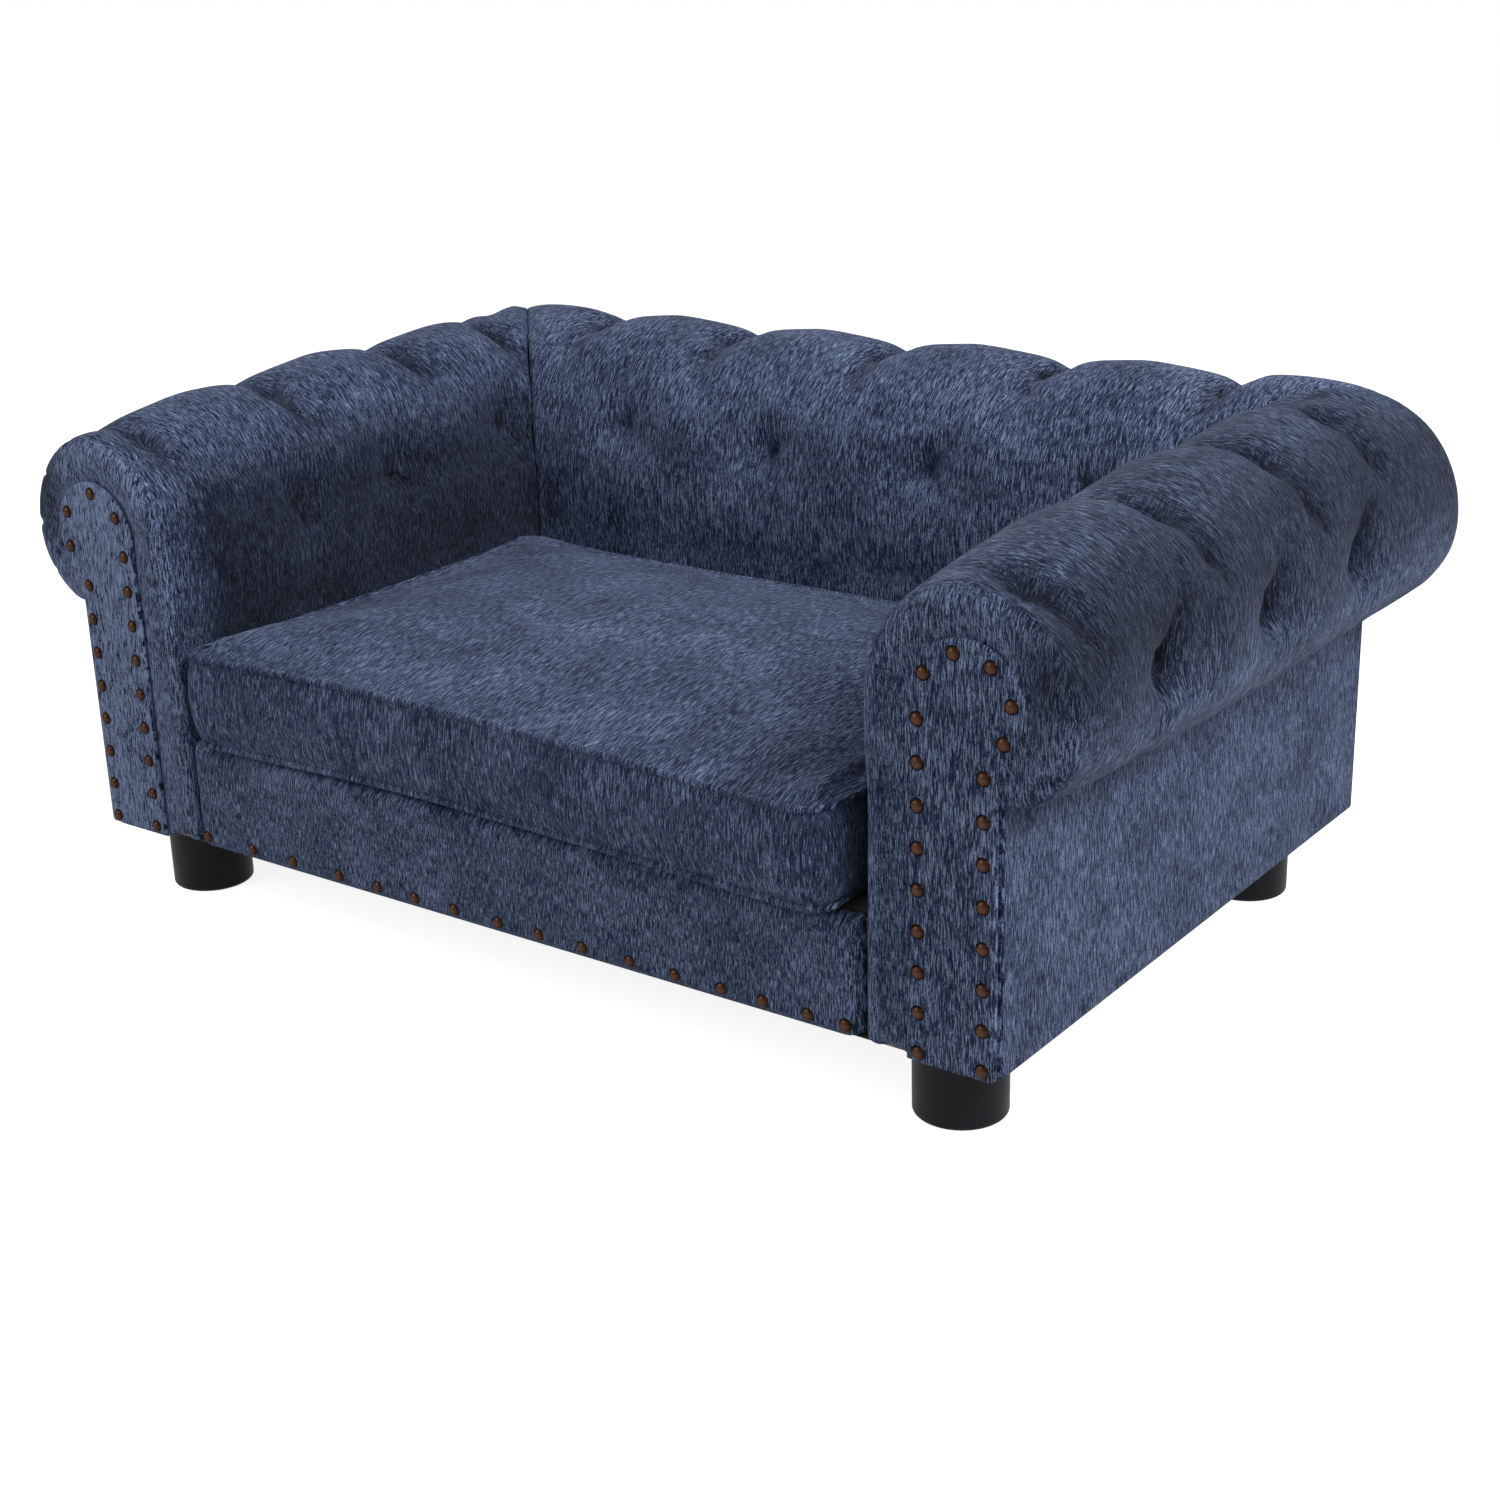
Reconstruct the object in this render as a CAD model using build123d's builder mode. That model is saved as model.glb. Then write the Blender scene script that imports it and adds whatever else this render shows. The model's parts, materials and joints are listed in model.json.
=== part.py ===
from build123d import *
from math import atan2, cos, degrees, radians, sin, sqrt
import os

# A small tufted pet sofa: a wooden frame, two rolled arms and a rolled back,
# a padded seat base between the arms, a loose seat cushion and four round feet.
# Millimetres. The origin lies on the floor under the middle of the whole sofa,
# +X runs along the seat, -Y faces the front and +Z is up.
os.makedirs("parts", exist_ok=True)

# Body of the sofa
foot_height = 60.0
foot_diameter = 67.5
body_depth = 582.0
seat_width = 660.0
arm_width = 108.0
seat_back_inset = 133.0
cushion_overhang = 14.0

# Rolls along the arms and the back
roll_height = 315.0
roll_inset = 26.0
rim_radius = 82.0
crown_radius = 106.0
side_radius = 93.0
tuft_rise = 15.0
top_tuft_depth = 9.0
side_tuft_depth = 14.0
face_crown = 3.0
waist_drop = 75.0
roll_drop = 66.0
roll_lip = 14.0
corner_round = 52.0
edge_round = 15.0
edge_inset = 9.0
turn_inset = 4.0

# Rows of tufts
arm_tuft_start = 46.0
arm_tuft_end = 16.5
button_radius = 7.0
button_thickness = 4.0
pocket_depth = 4.0

# Wooden frame
board = 15.0
panel = 6.0
ply = 9.0
arm_pad_thickness = 18.0
back_pad_thickness = 30.0
core_gap = 5.0
top_rail_thickness = 18.0
bottom_board_thickness = 18.0
rail_thickness = 18.0
rail_height = 75.0
scroll_radius = 62.0
post_width = 18.0
back_rail_height = 60.0
slat_width = 60.0
slat_count = 3
block_leg = 50.0
block_height = 45.0
dust_cloth = 0.8
deck_pad_thickness = 6.0

# Facings, border and outer panels
facing_thickness = 8.0
facing_width = 67.0
head_radius = 43.5
head_offset = 1.5
neck_drop = 60.0
neck_draw = 1.5
front_pad_set_back = 3.0
border_thickness = 14.0
border_rise = 4.0
border_round = 11.0
border_side_gap = 2.0
side_panel_rise = 12.0

# Seat cushion
cushion_side_gap = 9.0
cushion_back_gap = 28.0
cushion_edge = 81.0
cushion_crown = 18.0
cushion_bulge = 5.0
cushion_draw = 5.0
cushion_corner = 24.0
cover_cloth = 1.6
welt_radius = 3.2

# Zip on the cushion's rear face
zip_length = 400.0
zip_height = 26.0
zip_tape = 1.0
zip_flat = 7.5
zip_margin = 5.0
teeth_height = 6.0
teeth_thickness = 1.6
slider_length = 12.0
slider_height = 10.0
slider_plate = 1.2
bail_radius = 1.0
bail_rise = 2.6
bail_post = 1.5
pull_length = 15.0
pull_width = 7.0
pull_thickness = 1.4
pull_neck = 3.0
pull_eye_wall = 1.1

# Nails, bolts, screws and studs
nail_radius = 5.5
nail_rise = 3.4
nail_shank = 0.9
nail_length = 18.0
nail_inset = 9.0
nail_first = 6.5
inner_nail_pitch = 29.3
outer_nail_pitch = 29.1
inner_nail_count = 9
outer_nail_count = 8
rail_nail_inset = 9.0
stud_radius = 4.0
stud_length = 34.0
stud_tail = 3.0
plate_size = 50.0
plate_thickness = 2.5
boss_radius = 7.0
boss_length = 9.0
screw_radius = 1.6
screw_head_radius = 3.6
screw_head = 1.4
screw_length = 14.0
screw_margin = 7.0
bolt_radius = 3.0
bolt_head_radius = 6.0
bolt_head = 3.5
bolt_tail = 3.0
nut_thickness = 5.0
foot_wall = 4.0
foot_floor = 5.0
foot_boss_radius = 11.0
foot_edge_round = 3.0
foot_rib = 2.5
foot_rib_drop = 4.0
foot_inset_side = 59.0
front_foot_inset = 54.3
rear_foot_inset = 72.5

# Clearances
gap = 0.3
side_gap = 1.2
running = 0.05
overrun = 5.0

# Places worked out from the sizes above
body_width = seat_width + 2 * arm_width
body_half = body_width / 2
seat_half = seat_width / 2
roll_x = body_half - roll_inset
overall_depth = cushion_overhang + body_depth - roll_inset + side_radius
front_y = cushion_overhang - overall_depth / 2
back_y = front_y + body_depth
roll_y = back_y - roll_inset
seat_back_y = back_y - seat_back_inset
bottom_z = foot_height + dust_cloth
arm_inner = roll_x - seat_half
back_inner = roll_y - seat_back_y
tuft_height = roll_height + tuft_rise
waist_height = roll_height - waist_drop
core_height = tuft_height - button_radius - core_gap
core_x = seat_half + arm_pad_thickness
core_y = seat_back_y + back_pad_thickness
panel_x = body_half - panel
panel_y = back_y - panel
scroll_y = front_y + facing_thickness
frame_y = scroll_y + board
rear_board_y = panel_y - board
border_y = front_y + front_pad_set_back
rail_y = border_y + border_thickness
base_half = seat_half - side_gap
rail_top = bottom_z + rail_height
deck_top = rail_top + ply
deck_pad_top = deck_top + deck_pad_thickness
head_x = roll_x + head_offset
full_x = roll_x + side_radius
full_y = roll_y + side_radius
turn_x = seat_half - turn_inset
turn_y = seat_back_y - turn_inset
arm_tuft_pitch = (turn_y - arm_tuft_end - front_y - arm_tuft_start) / 2.5
back_tuft_pitch = turn_x / 2
cushion_width = seat_width - 2 * cushion_side_gap
cushion_front_y = front_y - cushion_overhang
cushion_depth = seat_back_y - cushion_back_gap - cushion_front_y


def pad_outline(inner, base, swell_share, top_share, side_share, inset=0, start=0, stretch=1):
    """Edges of one cross-section of an arm or back pad, from its inner foot round the roll.

    Inner is the distance from the seat's face, which lies at start, to the roll's
    middle, and stretch widens the section where the roll turns a corner.
    """
    radius = rim_radius + (crown_radius - rim_radius) * swell_share - inset
    side = rim_radius + (side_radius - rim_radius) * swell_share - inset
    dent = side_tuft_depth * side_share
    slope = (radius - face_crown) / sqrt(2)
    cheek = radians(32)

    def place(u, z):
        return (start + (inner + u) * stretch, z)

    face = inset - inner
    waist = place(face + face_crown, waist_height)
    inner_tuft = place(face + face_crown + dent, tuft_height)
    top = place(0, roll_height + radius - top_tuft_depth * top_share)
    outer_tuft = place(side - dent, roll_height)
    lip = place(roll_inset + roll_lip, roll_height - roll_drop + inset)
    hem = place(0, roll_height - roll_drop + inset)
    Polyline(lip, hem, place(0, base), place(face, base), waist)
    ThreePointArc(waist, place(face, (waist_height + tuft_height) / 2), inner_tuft)
    shoulder = place(face * slope / radius, roll_height + slope)
    ThreePointArc(inner_tuft, shoulder, top)
    outer_shoulder = place(side / sqrt(2), roll_height + radius / sqrt(2))
    ThreePointArc(top, outer_shoulder, outer_tuft)
    ThreePointArc(outer_tuft, place(side * cos(cheek), roll_height - side * sin(cheek)), lip)


def arm_plane(y):
    """Plane across the right arm at y, its u running outwards from the seat's face."""
    return Plane(origin=(seat_half, y, 0), x_dir=(1, 0, 0), z_dir=(0, -1, 0))


def back_plane(x):
    """Plane across the back at x, its u running outwards from the seat's face."""
    return Plane(origin=(x, seat_back_y, 0), x_dir=(0, 1, 0), z_dir=(1, 0, 0))


def corner_plane(angle, hand=1, shift=0):
    """Upright plane through the pads' turning point, turned by angle from the arm's plane."""
    out = Vector(hand * cos(radians(angle)), sin(radians(angle)), 0)
    along = Vector(sin(radians(angle)), -hand * cos(radians(angle)), 0)
    origin = Vector(hand * turn_x, turn_y, 0) + along * shift
    return Plane(origin=origin, x_dir=out, z_dir=along)


def corner_reach(angle):
    """Distance from the pads' turning point to the outer side of the roll, at an angle."""
    out_x, out_y = cos(radians(angle)), sin(radians(angle))
    wide, deep = full_x - turn_x, full_y - turn_y
    mid_x, mid_y = wide - corner_round, deep - corner_round
    if out_y * wide / out_x <= mid_y:
        return wide / out_x
    if out_x * deep / out_y <= mid_x:
        return deep / out_y
    along = out_x * mid_x + out_y * mid_y
    return along + sqrt(corner_round ** 2 - mid_x ** 2 - mid_y ** 2 + along ** 2)


# Rows of tufts: their places along the arm and along the back, and the arm's
# last one, which lies in the corner at an angle from the arm's plane
arm_top_rows = [front_y + arm_tuft_start + arm_tuft_pitch * i for i in range(3)]
arm_side_rows = [y + arm_tuft_pitch / 2 for y in arm_top_rows]
back_top_rows = [back_tuft_pitch * (i - 2) for i in range(5)]
back_side_rows = [x + back_tuft_pitch / 2 for x in back_top_rows[:4]]
arm_swell_shares = [0.3, 0.85, 1.0]
arm_crown_shares = [0.58, 0.95, 1.0]
first_tuft_share = 0.5
seam_angle = degrees(atan2(full_y - turn_y, full_x - turn_x))
arm_turn_shares = (0, 0.25, 0.48, 0.7, 0.85, 1)
back_turn_shares = (0, 0.35, 0.68, 1)
corner_tuft_angle = seam_angle * arm_turn_shares[3]
seam_inner = (arm_inner + back_inner) / 2
turn_swell_share = 0.93
arm_end_dent_share = 0.5


def corner_section(angle, start_angle, start_inner):
    """Inner distance and stretch of a pad's section where it turns the corner."""
    turned_share = (angle - start_angle) / (seam_angle - start_angle)
    inner = start_inner + (seam_inner - start_inner) * turned_share
    return inner, (corner_reach(angle) - turn_inset) / (inner + side_radius)


# Cross-sections along the straight of the right arm: place, swell, top dent, side dent, inset
arm_sections = [
    (border_y, 0, 0, 0, edge_inset),
    (border_y + edge_round / 3, 0, 0, 0, edge_inset / 4),
    (border_y + edge_round, 0, 0, 0, 0),
]
for i, y in enumerate(arm_top_rows):
    top_share = first_tuft_share if i == 0 else 1
    arm_sections.append((y, arm_swell_shares[i], top_share, 0, 0))
    arm_sections.append((arm_side_rows[i], arm_crown_shares[i], 0, 1, 0))
arm_sections.append((turn_y, 1, 0, arm_end_dent_share, 0))

# Wooden core that the pads are stretched over: a U of boxes in plan, open at the bottom
with BuildPart() as core:
    with BuildSketch(Plane.XY):
        core_width = body_half + gap - core_x
        core_length = back_y + gap - scroll_y
        for hand in (-1, 1):
            with Locations((hand * (core_x + core_width / 2), scroll_y + core_length / 2)):
                Rectangle(core_width, core_length)
        with Locations((0, (core_y + back_y + gap) / 2)):
            Rectangle(2 * (body_half + gap), back_y + gap - core_y)
    extrude(amount=core_height)

# Outline of the front scroll board and of the facing that covers it
def scroll_board_face(clearance):
    """The scroll board: a plank with a round head."""
    width = panel_x - core_x
    with Locations((core_x + width / 2, (bottom_z + roll_height) / 2)):
        Rectangle(width, roll_height - bottom_z)
    with Locations((head_x, roll_height)):
        Circle(scroll_radius + clearance)


def facing_outline(clearance):
    """The facing: a straight strip that widens outwards into a round head."""
    radius = head_radius + clearance
    left = head_x - radius
    right = head_x - head_radius + facing_width + clearance
    turn = radians(35)
    cheek = (head_x + radius * cos(turn), roll_height - radius * sin(turn))
    neck = (right, roll_height - neck_drop)
    throat = ((cheek[0] + right) / 2 - clearance - neck_draw, (cheek[1] + neck[1]) / 2)
    base = foot_height - clearance
    Polyline(neck, (right, base), (left, base), (left, roll_height))
    ThreePointArc((left, roll_height), (head_x, roll_height + radius), (head_x + radius, roll_height))
    shoulder = (head_x + radius * cos(turn / 2), roll_height - radius * sin(turn / 2))
    ThreePointArc((head_x + radius, roll_height), shoulder, cheek)
    ThreePointArc(cheek, throat, neck)


# Joining bolts between the base and each arm
bolt_z = bottom_z + rail_height / 2
bolt_places = [front_y + body_depth * share for share in (0.28, 0.58)]


def arm_top_radius(row):
    """Height of the roll's top above its middle at one of the arm's top tufts."""
    share = first_tuft_share if row == 0 else 1
    swell = rim_radius + (crown_radius - rim_radius) * arm_swell_shares[row]
    return swell - top_tuft_depth * share


def side_reach(swell_share):
    """Reach of the roll's outer side at a side tuft."""
    return rim_radius + (side_radius - rim_radius) * swell_share - side_tuft_depth


# Seats of the tuft buttons on the right arm and on the back: place and outward direction
arm_tufts = []
for i, y in enumerate(arm_top_rows):
    arm_tufts.append(((roll_x, y, roll_height + arm_top_radius(i)), (0, 0, 1)))
for i, y in enumerate(arm_side_rows):
    inner_u = arm_inner - face_crown - side_tuft_depth
    arm_tufts.append(((roll_x - inner_u, y, tuft_height), (-1, 0, 0)))
    arm_tufts.append(((roll_x + side_reach(arm_crown_shares[i]), y, roll_height), (1, 0, 0)))
corner_inner, corner_stretch = corner_section(corner_tuft_angle, 0, arm_inner)
corner_tuft = corner_plane(corner_tuft_angle).from_local_coords(
    Vector(turn_inset + corner_inner * corner_stretch, roll_height + crown_radius - top_tuft_depth, 0)
)
arm_tufts.append(((corner_tuft.X, corner_tuft.Y, corner_tuft.Z), (0, 0, 1)))
back_tufts = []
for x in back_top_rows:
    back_tufts.append(((x, roll_y, roll_height + crown_radius - top_tuft_depth), (0, 0, 1)))
for x in back_side_rows:
    inner_u = back_inner - face_crown - side_tuft_depth
    back_tufts.append(((x, roll_y - inner_u, tuft_height), (0, -1, 0)))
    back_tufts.append(((x, roll_y + side_reach(1), roll_height), (0, 1, 0)))


def tuft_plane(place, outward, depth):
    """Plane sunk by depth below a tuft's seat, facing outwards."""
    sunk = tuple(p - depth * o for p, o in zip(place, outward))
    return Plane(origin=sunk, z_dir=outward)


# Right arm pad: inner face, roll and front edge in one tufted pad
with BuildPart() as right_arm_pad:
    for y, swell_share, top_share, side_share, inset in arm_sections:
        with BuildSketch(arm_plane(y)):
            with BuildLine():
                pad_outline(arm_inner, bottom_z, swell_share, top_share, side_share, inset)
            make_face()
    loft(ruled=True)
    for turn_share in arm_turn_shares:
        angle = seam_angle * turn_share
        swell_share = turn_swell_share if angle == seam_angle else 1
        top_share = 1 if angle == corner_tuft_angle else 0
        inner, stretch = corner_section(angle, 0, arm_inner)
        shift = gap if angle == seam_angle else 0
        with BuildSketch(corner_plane(angle, 1, shift)):
            with BuildLine():
                dent_share = arm_end_dent_share if angle == 0 else 0
                pad_outline(inner, bottom_z, swell_share, top_share, dent_share, 0, turn_inset, stretch)
            make_face()
    loft(ruled=True)
    add(core.part, mode=Mode.SUBTRACT)
    with BuildSketch(Plane.XZ.offset(-scroll_y)):
        scroll_board_face(gap)
    extrude(amount=-board - gap, mode=Mode.SUBTRACT)
    with BuildSketch(Plane.XZ.offset(-scroll_y)):
        with BuildLine():
            facing_outline(gap)
        make_face()
    extrude(amount=facing_thickness, mode=Mode.SUBTRACT)
    for place, outward in arm_tufts:
        with BuildSketch(tuft_plane(place, outward, pocket_depth)):
            Circle(button_radius + gap)
        extrude(amount=pocket_depth + side_tuft_depth, mode=Mode.SUBTRACT)
    with Locations(*[Location((core_x, y, bolt_z), (0, 90, 0)) for y in bolt_places]):
        Cylinder(bolt_radius + gap, 4 * arm_pad_thickness, mode=Mode.SUBTRACT)

# Cross-sections along the straight of the back: place, top dent and side dent
back_sections = []
for i, x in enumerate(back_top_rows):
    back_sections.append((x, 1, 0))
    if i < len(back_side_rows):
        back_sections.append((back_side_rows[i], 0, 1))

# Back pad: inner face and roll in one tufted pad, ending on the seams to the arms
with BuildPart() as back_pad:
    for x, top_share, side_share in back_sections:
        with BuildSketch(back_plane(x)):
            with BuildLine():
                pad_outline(back_inner, deck_top, 1, top_share, side_share)
            make_face()
    loft(ruled=True)
    for hand in (-1, 1):
        for turn_share in back_turn_shares:
            angle = 90 + (seam_angle - 90) * turn_share
            swell_share = turn_swell_share if angle == seam_angle else 1
            top_share = 1 if angle == 90 else 0
            inner, stretch = corner_section(angle, 90, back_inner)
            shift = -hand * gap if angle == seam_angle else 0
            with BuildSketch(corner_plane(angle, hand, shift)):
                with BuildLine():
                    pad_outline(inner, deck_top, swell_share, top_share, 0, 0, turn_inset, stretch)
                make_face()
        loft(ruled=True)
    add(core.part, mode=Mode.SUBTRACT)
    for place, outward in back_tufts:
        with BuildSketch(tuft_plane(place, outward, pocket_depth)):
            Circle(button_radius + gap)
        extrude(amount=pocket_depth + side_tuft_depth, mode=Mode.SUBTRACT)


def button_group(places):
    """Domed cloth buttons, one in each tuft's pocket."""
    with BuildPart() as group:
        for place, outward in places:
            with BuildSketch(tuft_plane(place, outward, pocket_depth - gap)):
                Circle(button_radius)
            extrude(amount=button_thickness)
        rims = group.edges().filter_by(GeomType.CIRCLE)
        fillet(rims, button_thickness / 4)
    return group.part


right_arm_buttons = button_group(arm_tufts)
back_buttons = button_group(back_tufts)


def block(low, high):
    """A plain board between two opposite corners, given in any order."""
    size = [abs(b - a) for a, b in zip(low, high)]
    middle = [(a + b) / 2 for a, b in zip(low, high)]
    with BuildPart() as piece:
        with Locations(tuple(middle)):
            Box(*size)
    return piece.part


# Boards of the right arm
inner_board_x = core_x + ply
bottom_board_top = bottom_z + bottom_board_thickness
top_rail_bottom = core_height - top_rail_thickness
foot_x = body_half - foot_inset_side
foot_rows = (front_y + front_foot_inset, back_y - rear_foot_inset)

with BuildPart() as right_scroll_board:
    with BuildSketch(Plane.XZ.offset(-scroll_y)):
        scroll_board_face(0)
    extrude(amount=-board)

with BuildPart() as right_rear_board:
    add(block((core_x, rear_board_y, bottom_z), (panel_x, panel_y, core_height)))

with BuildPart() as right_inner_board:
    add(block((core_x, frame_y, bottom_board_top), (inner_board_x, rear_board_y, core_height)))
    with Locations(*[Location((core_x, y, bolt_z), (0, 90, 0)) for y in bolt_places]):
        Cylinder(bolt_radius + gap, 4 * ply, mode=Mode.SUBTRACT)

with BuildPart() as right_top_rail:
    add(block((inner_board_x, frame_y, top_rail_bottom), (panel_x, rear_board_y, core_height)))

with BuildPart() as right_bottom_board:
    add(block((core_x, frame_y, bottom_z), (panel_x, rear_board_y, bottom_board_top)))
    with BuildSketch(Plane.XY.offset(bottom_z)):
        with Locations(*[(foot_x, y) for y in foot_rows]):
            Rectangle(plate_size + 2 * gap, plate_size + 2 * gap)
    extrude(amount=plate_thickness, mode=Mode.SUBTRACT)
    with BuildSketch(Plane.XY.offset(bottom_z)):
        with Locations(*[(foot_x, y) for y in foot_rows]):
            Circle(boss_radius + gap)
    extrude(amount=bottom_board_thickness, mode=Mode.SUBTRACT)

# Outer panels, skinned in the sofa's cloth, tucked up under the rolls
panel_top = roll_height - roll_drop + side_panel_rise
with BuildPart() as right_side_panel:
    add(block((panel_x, scroll_y, foot_height), (body_half, back_y, panel_top)))
    with BuildSketch(Plane.XZ.offset(-scroll_y)):
        scroll_board_face(gap)
    extrude(amount=-board - gap, mode=Mode.SUBTRACT)

with BuildPart() as back_panel:
    add(block((-panel_x, panel_y, foot_height), (panel_x, back_y, panel_top)))

# Facing on the front of the right arm, a cloth-covered board
with BuildPart() as right_facing:
    with BuildSketch(Plane.XZ.offset(-front_y)):
        with BuildLine():
            facing_outline(0)
        make_face()
    extrude(amount=-facing_thickness)

# Base between the arms: four rails, slats, corner blocks, deck and its pad
rail_back_y = rail_y + rail_thickness
rear_rail_y = core_y - rail_thickness
side_rail_x = base_half - rail_thickness

with BuildPart() as front_rail:
    add(block((-base_half, rail_y, bottom_z), (base_half, rail_back_y, rail_top)))

with BuildPart() as rear_rail:
    add(block((-base_half, rear_rail_y, bottom_z), (base_half, core_y, rail_top)))

with BuildPart() as right_side_rail:
    add(block((side_rail_x, rail_back_y, bottom_z), (base_half, rear_rail_y, rail_top)))
    with Locations(*[Location((base_half, y, bolt_z), (0, 90, 0)) for y in bolt_places]):
        Cylinder(bolt_radius + gap, 4 * rail_thickness, mode=Mode.SUBTRACT)

with BuildPart() as cross_slats:
    pitch = 2 * side_rail_x / (slat_count + 1)
    for i in range(slat_count):
        x = pitch * (i + 1) - side_rail_x
        low = (x - slat_width / 2, rail_back_y, rail_top - rail_thickness)
        add(block(low, (x + slat_width / 2, rear_rail_y, rail_top)))

with BuildPart() as corner_blocks:
    with BuildSketch(Plane.XY.offset(bottom_z)):
        for x, y, right, up in (
            (-side_rail_x, rail_back_y, block_leg, block_leg),
            (side_rail_x, rail_back_y, -block_leg, block_leg),
            (-side_rail_x, rear_rail_y, block_leg, -block_leg),
            (side_rail_x, rear_rail_y, -block_leg, -block_leg),
        ):
            with BuildLine():
                Polyline((x, y), (x + right, y), (x, y + up), close=True)
            make_face()
    extrude(amount=block_height)

with BuildPart() as deck_board:
    add(block((-base_half, rail_y, rail_top), (base_half, core_y, deck_top)))

with BuildPart() as deck_pad:
    pad_back = seat_back_y - side_gap
    add(block((-base_half, rail_y, deck_top), (base_half, pad_back, deck_pad_top)))

# Padded border over the front rail, rounded along its top and at its ends
border_half = seat_half - border_side_gap
with BuildPart() as front_border:
    add(block((-border_half, border_y, bottom_z), (border_half, rail_y, deck_top + border_rise)))
    front_face = front_border.faces().sort_by(Axis.Y)[0]
    bottom_edge = front_face.edges().sort_by(Axis.Z)[0]
    fillet([e for e in front_face.edges() if e != bottom_edge], border_round)

# Back frame: two posts, an inner board, a top rail and a bottom rail
back_board_y = core_y + ply
with BuildPart() as back_inner_board:
    add(block((-core_x, core_y, bottom_z), (core_x, back_board_y, top_rail_bottom)))

with BuildPart() as right_back_post:
    low = (core_x - post_width, back_board_y, bottom_z)
    add(block(low, (core_x, panel_y, top_rail_bottom)))

with BuildPart() as back_top_rail:
    add(block((-core_x, core_y, top_rail_bottom), (core_x, panel_y, core_height)))

with BuildPart() as back_bottom_rail:
    rail_half = core_x - post_width
    low = (-rail_half, panel_y - rail_thickness, bottom_z)
    add(block(low, (rail_half, panel_y, bottom_z + back_rail_height)))

# Cloth under the whole frame, open round each foot's stud
foot_places = [(hand * foot_x, y) for hand in (-1, 1) for y in foot_rows]
with BuildPart() as dust_cover:
    add(block((-panel_x, scroll_y, foot_height), (panel_x, panel_y, bottom_z)))
    with BuildSketch(Plane.XY.offset(foot_height)):
        with Locations(*foot_places):
            Circle(boss_radius)
    extrude(amount=dust_cloth, mode=Mode.SUBTRACT)

# Foot plates let into the bottom boards, each with a threaded boss and four screws
screw_reach = plate_size / 2 - screw_margin
screw_places = []
for x, y in foot_places:
    for right in (-1, 1):
        for up in (-1, 1):
            screw_places.append((x + right * screw_reach, y + up * screw_reach))

with BuildPart() as foot_plates:
    with BuildSketch(Plane.XY.offset(bottom_z)):
        with Locations(*foot_places):
            Rectangle(plate_size, plate_size)
    extrude(amount=plate_thickness)
    with BuildSketch(Plane.XY.offset(bottom_z)):
        with Locations(*foot_places):
            Circle(boss_radius)
    extrude(amount=boss_length)
    with BuildSketch(Plane.XY.offset(bottom_z)):
        with Locations(*foot_places):
            Circle(stud_radius + running)
    extrude(amount=boss_length, mode=Mode.SUBTRACT)
    with BuildSketch(Plane.XY.offset(bottom_z)):
        with Locations(*screw_places):
            Circle(screw_head_radius + running)
    extrude(amount=screw_head, mode=Mode.SUBTRACT)
    with BuildSketch(Plane.XY.offset(bottom_z)):
        with Locations(*screw_places):
            Circle(screw_radius + running)
    extrude(amount=plate_thickness, mode=Mode.SUBTRACT)

with BuildPart() as plate_screws:
    with BuildSketch(Plane.XY.offset(bottom_z)):
        with Locations(*screw_places):
            Circle(screw_head_radius)
    extrude(amount=screw_head)
    with BuildSketch(Plane.XY.offset(bottom_z)):
        with Locations(*screw_places):
            Circle(screw_radius)
    extrude(amount=screw_length)

# Joining bolts from inside the base through each arm's inner board, with their nuts
bolt_reach = inner_board_x + nut_thickness + bolt_tail - side_rail_x
with BuildPart() as joining_bolts:
    for hand in (-1, 1):
        for y in bolt_places:
            with BuildSketch(Plane(origin=(hand * side_rail_x, y, bolt_z), z_dir=(hand, 0, 0))):
                Circle(bolt_radius)
            extrude(amount=bolt_reach)
            with BuildSketch(Plane(origin=(hand * side_rail_x, y, bolt_z), z_dir=(-hand, 0, 0))):
                RegularPolygon(bolt_head_radius, 6)
            extrude(amount=bolt_head)

with BuildPart() as joining_nuts:
    for hand in (-1, 1):
        for y in bolt_places:
            with BuildSketch(Plane(origin=(hand * inner_board_x, y, bolt_z), z_dir=(hand, 0, 0))):
                RegularPolygon(bolt_head_radius, 6)
                Circle(bolt_radius + running, mode=Mode.SUBTRACT)
            extrude(amount=nut_thickness)

# One upholstery nail, its domed head above the XY plane and its shank below
with BuildPart() as nail:
    with BuildSketch(Plane.XZ):
        with BuildLine():
            half_way = radians(30)
            crown = (nail_radius * sin(half_way), nail_rise * cos(half_way))
            ThreePointArc((0, nail_rise), crown, (nail_radius, 0))
            Polyline((nail_radius, 0), (nail_shank, 0), (nail_shank, nail_radius - nail_length))
            Polyline((nail_shank, nail_radius - nail_length), (0, -nail_length), (0, nail_rise))
        make_face()
    revolve(axis=Axis.Z)


def nail_group(places, y):
    """Nails driven in from the front at the given (x, z) places."""
    with BuildPart() as group:
        with Locations(*[Location((x, y, z), (90, 0, 0)) for x, z in places]):
            add(nail.part)
    return group.part


def facing_nails(arch_angles, hand):
    """Places of the nails round one arm's facing, driven by hand and so not quite even."""
    left = head_x - head_radius + nail_inset
    right = head_x - head_radius + facing_width - nail_inset
    first = foot_height + nail_first
    places = [(hand * left, first + inner_nail_pitch * i) for i in range(inner_nail_count)]
    arch = head_radius - nail_inset
    for angle in arch_angles:
        x = head_x + arch * cos(radians(angle))
        places.append((hand * x, roll_height + arch * sin(radians(angle))))
    return places + [(hand * right, first + outer_nail_pitch * i) for i in range(outer_nail_count)]


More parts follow.
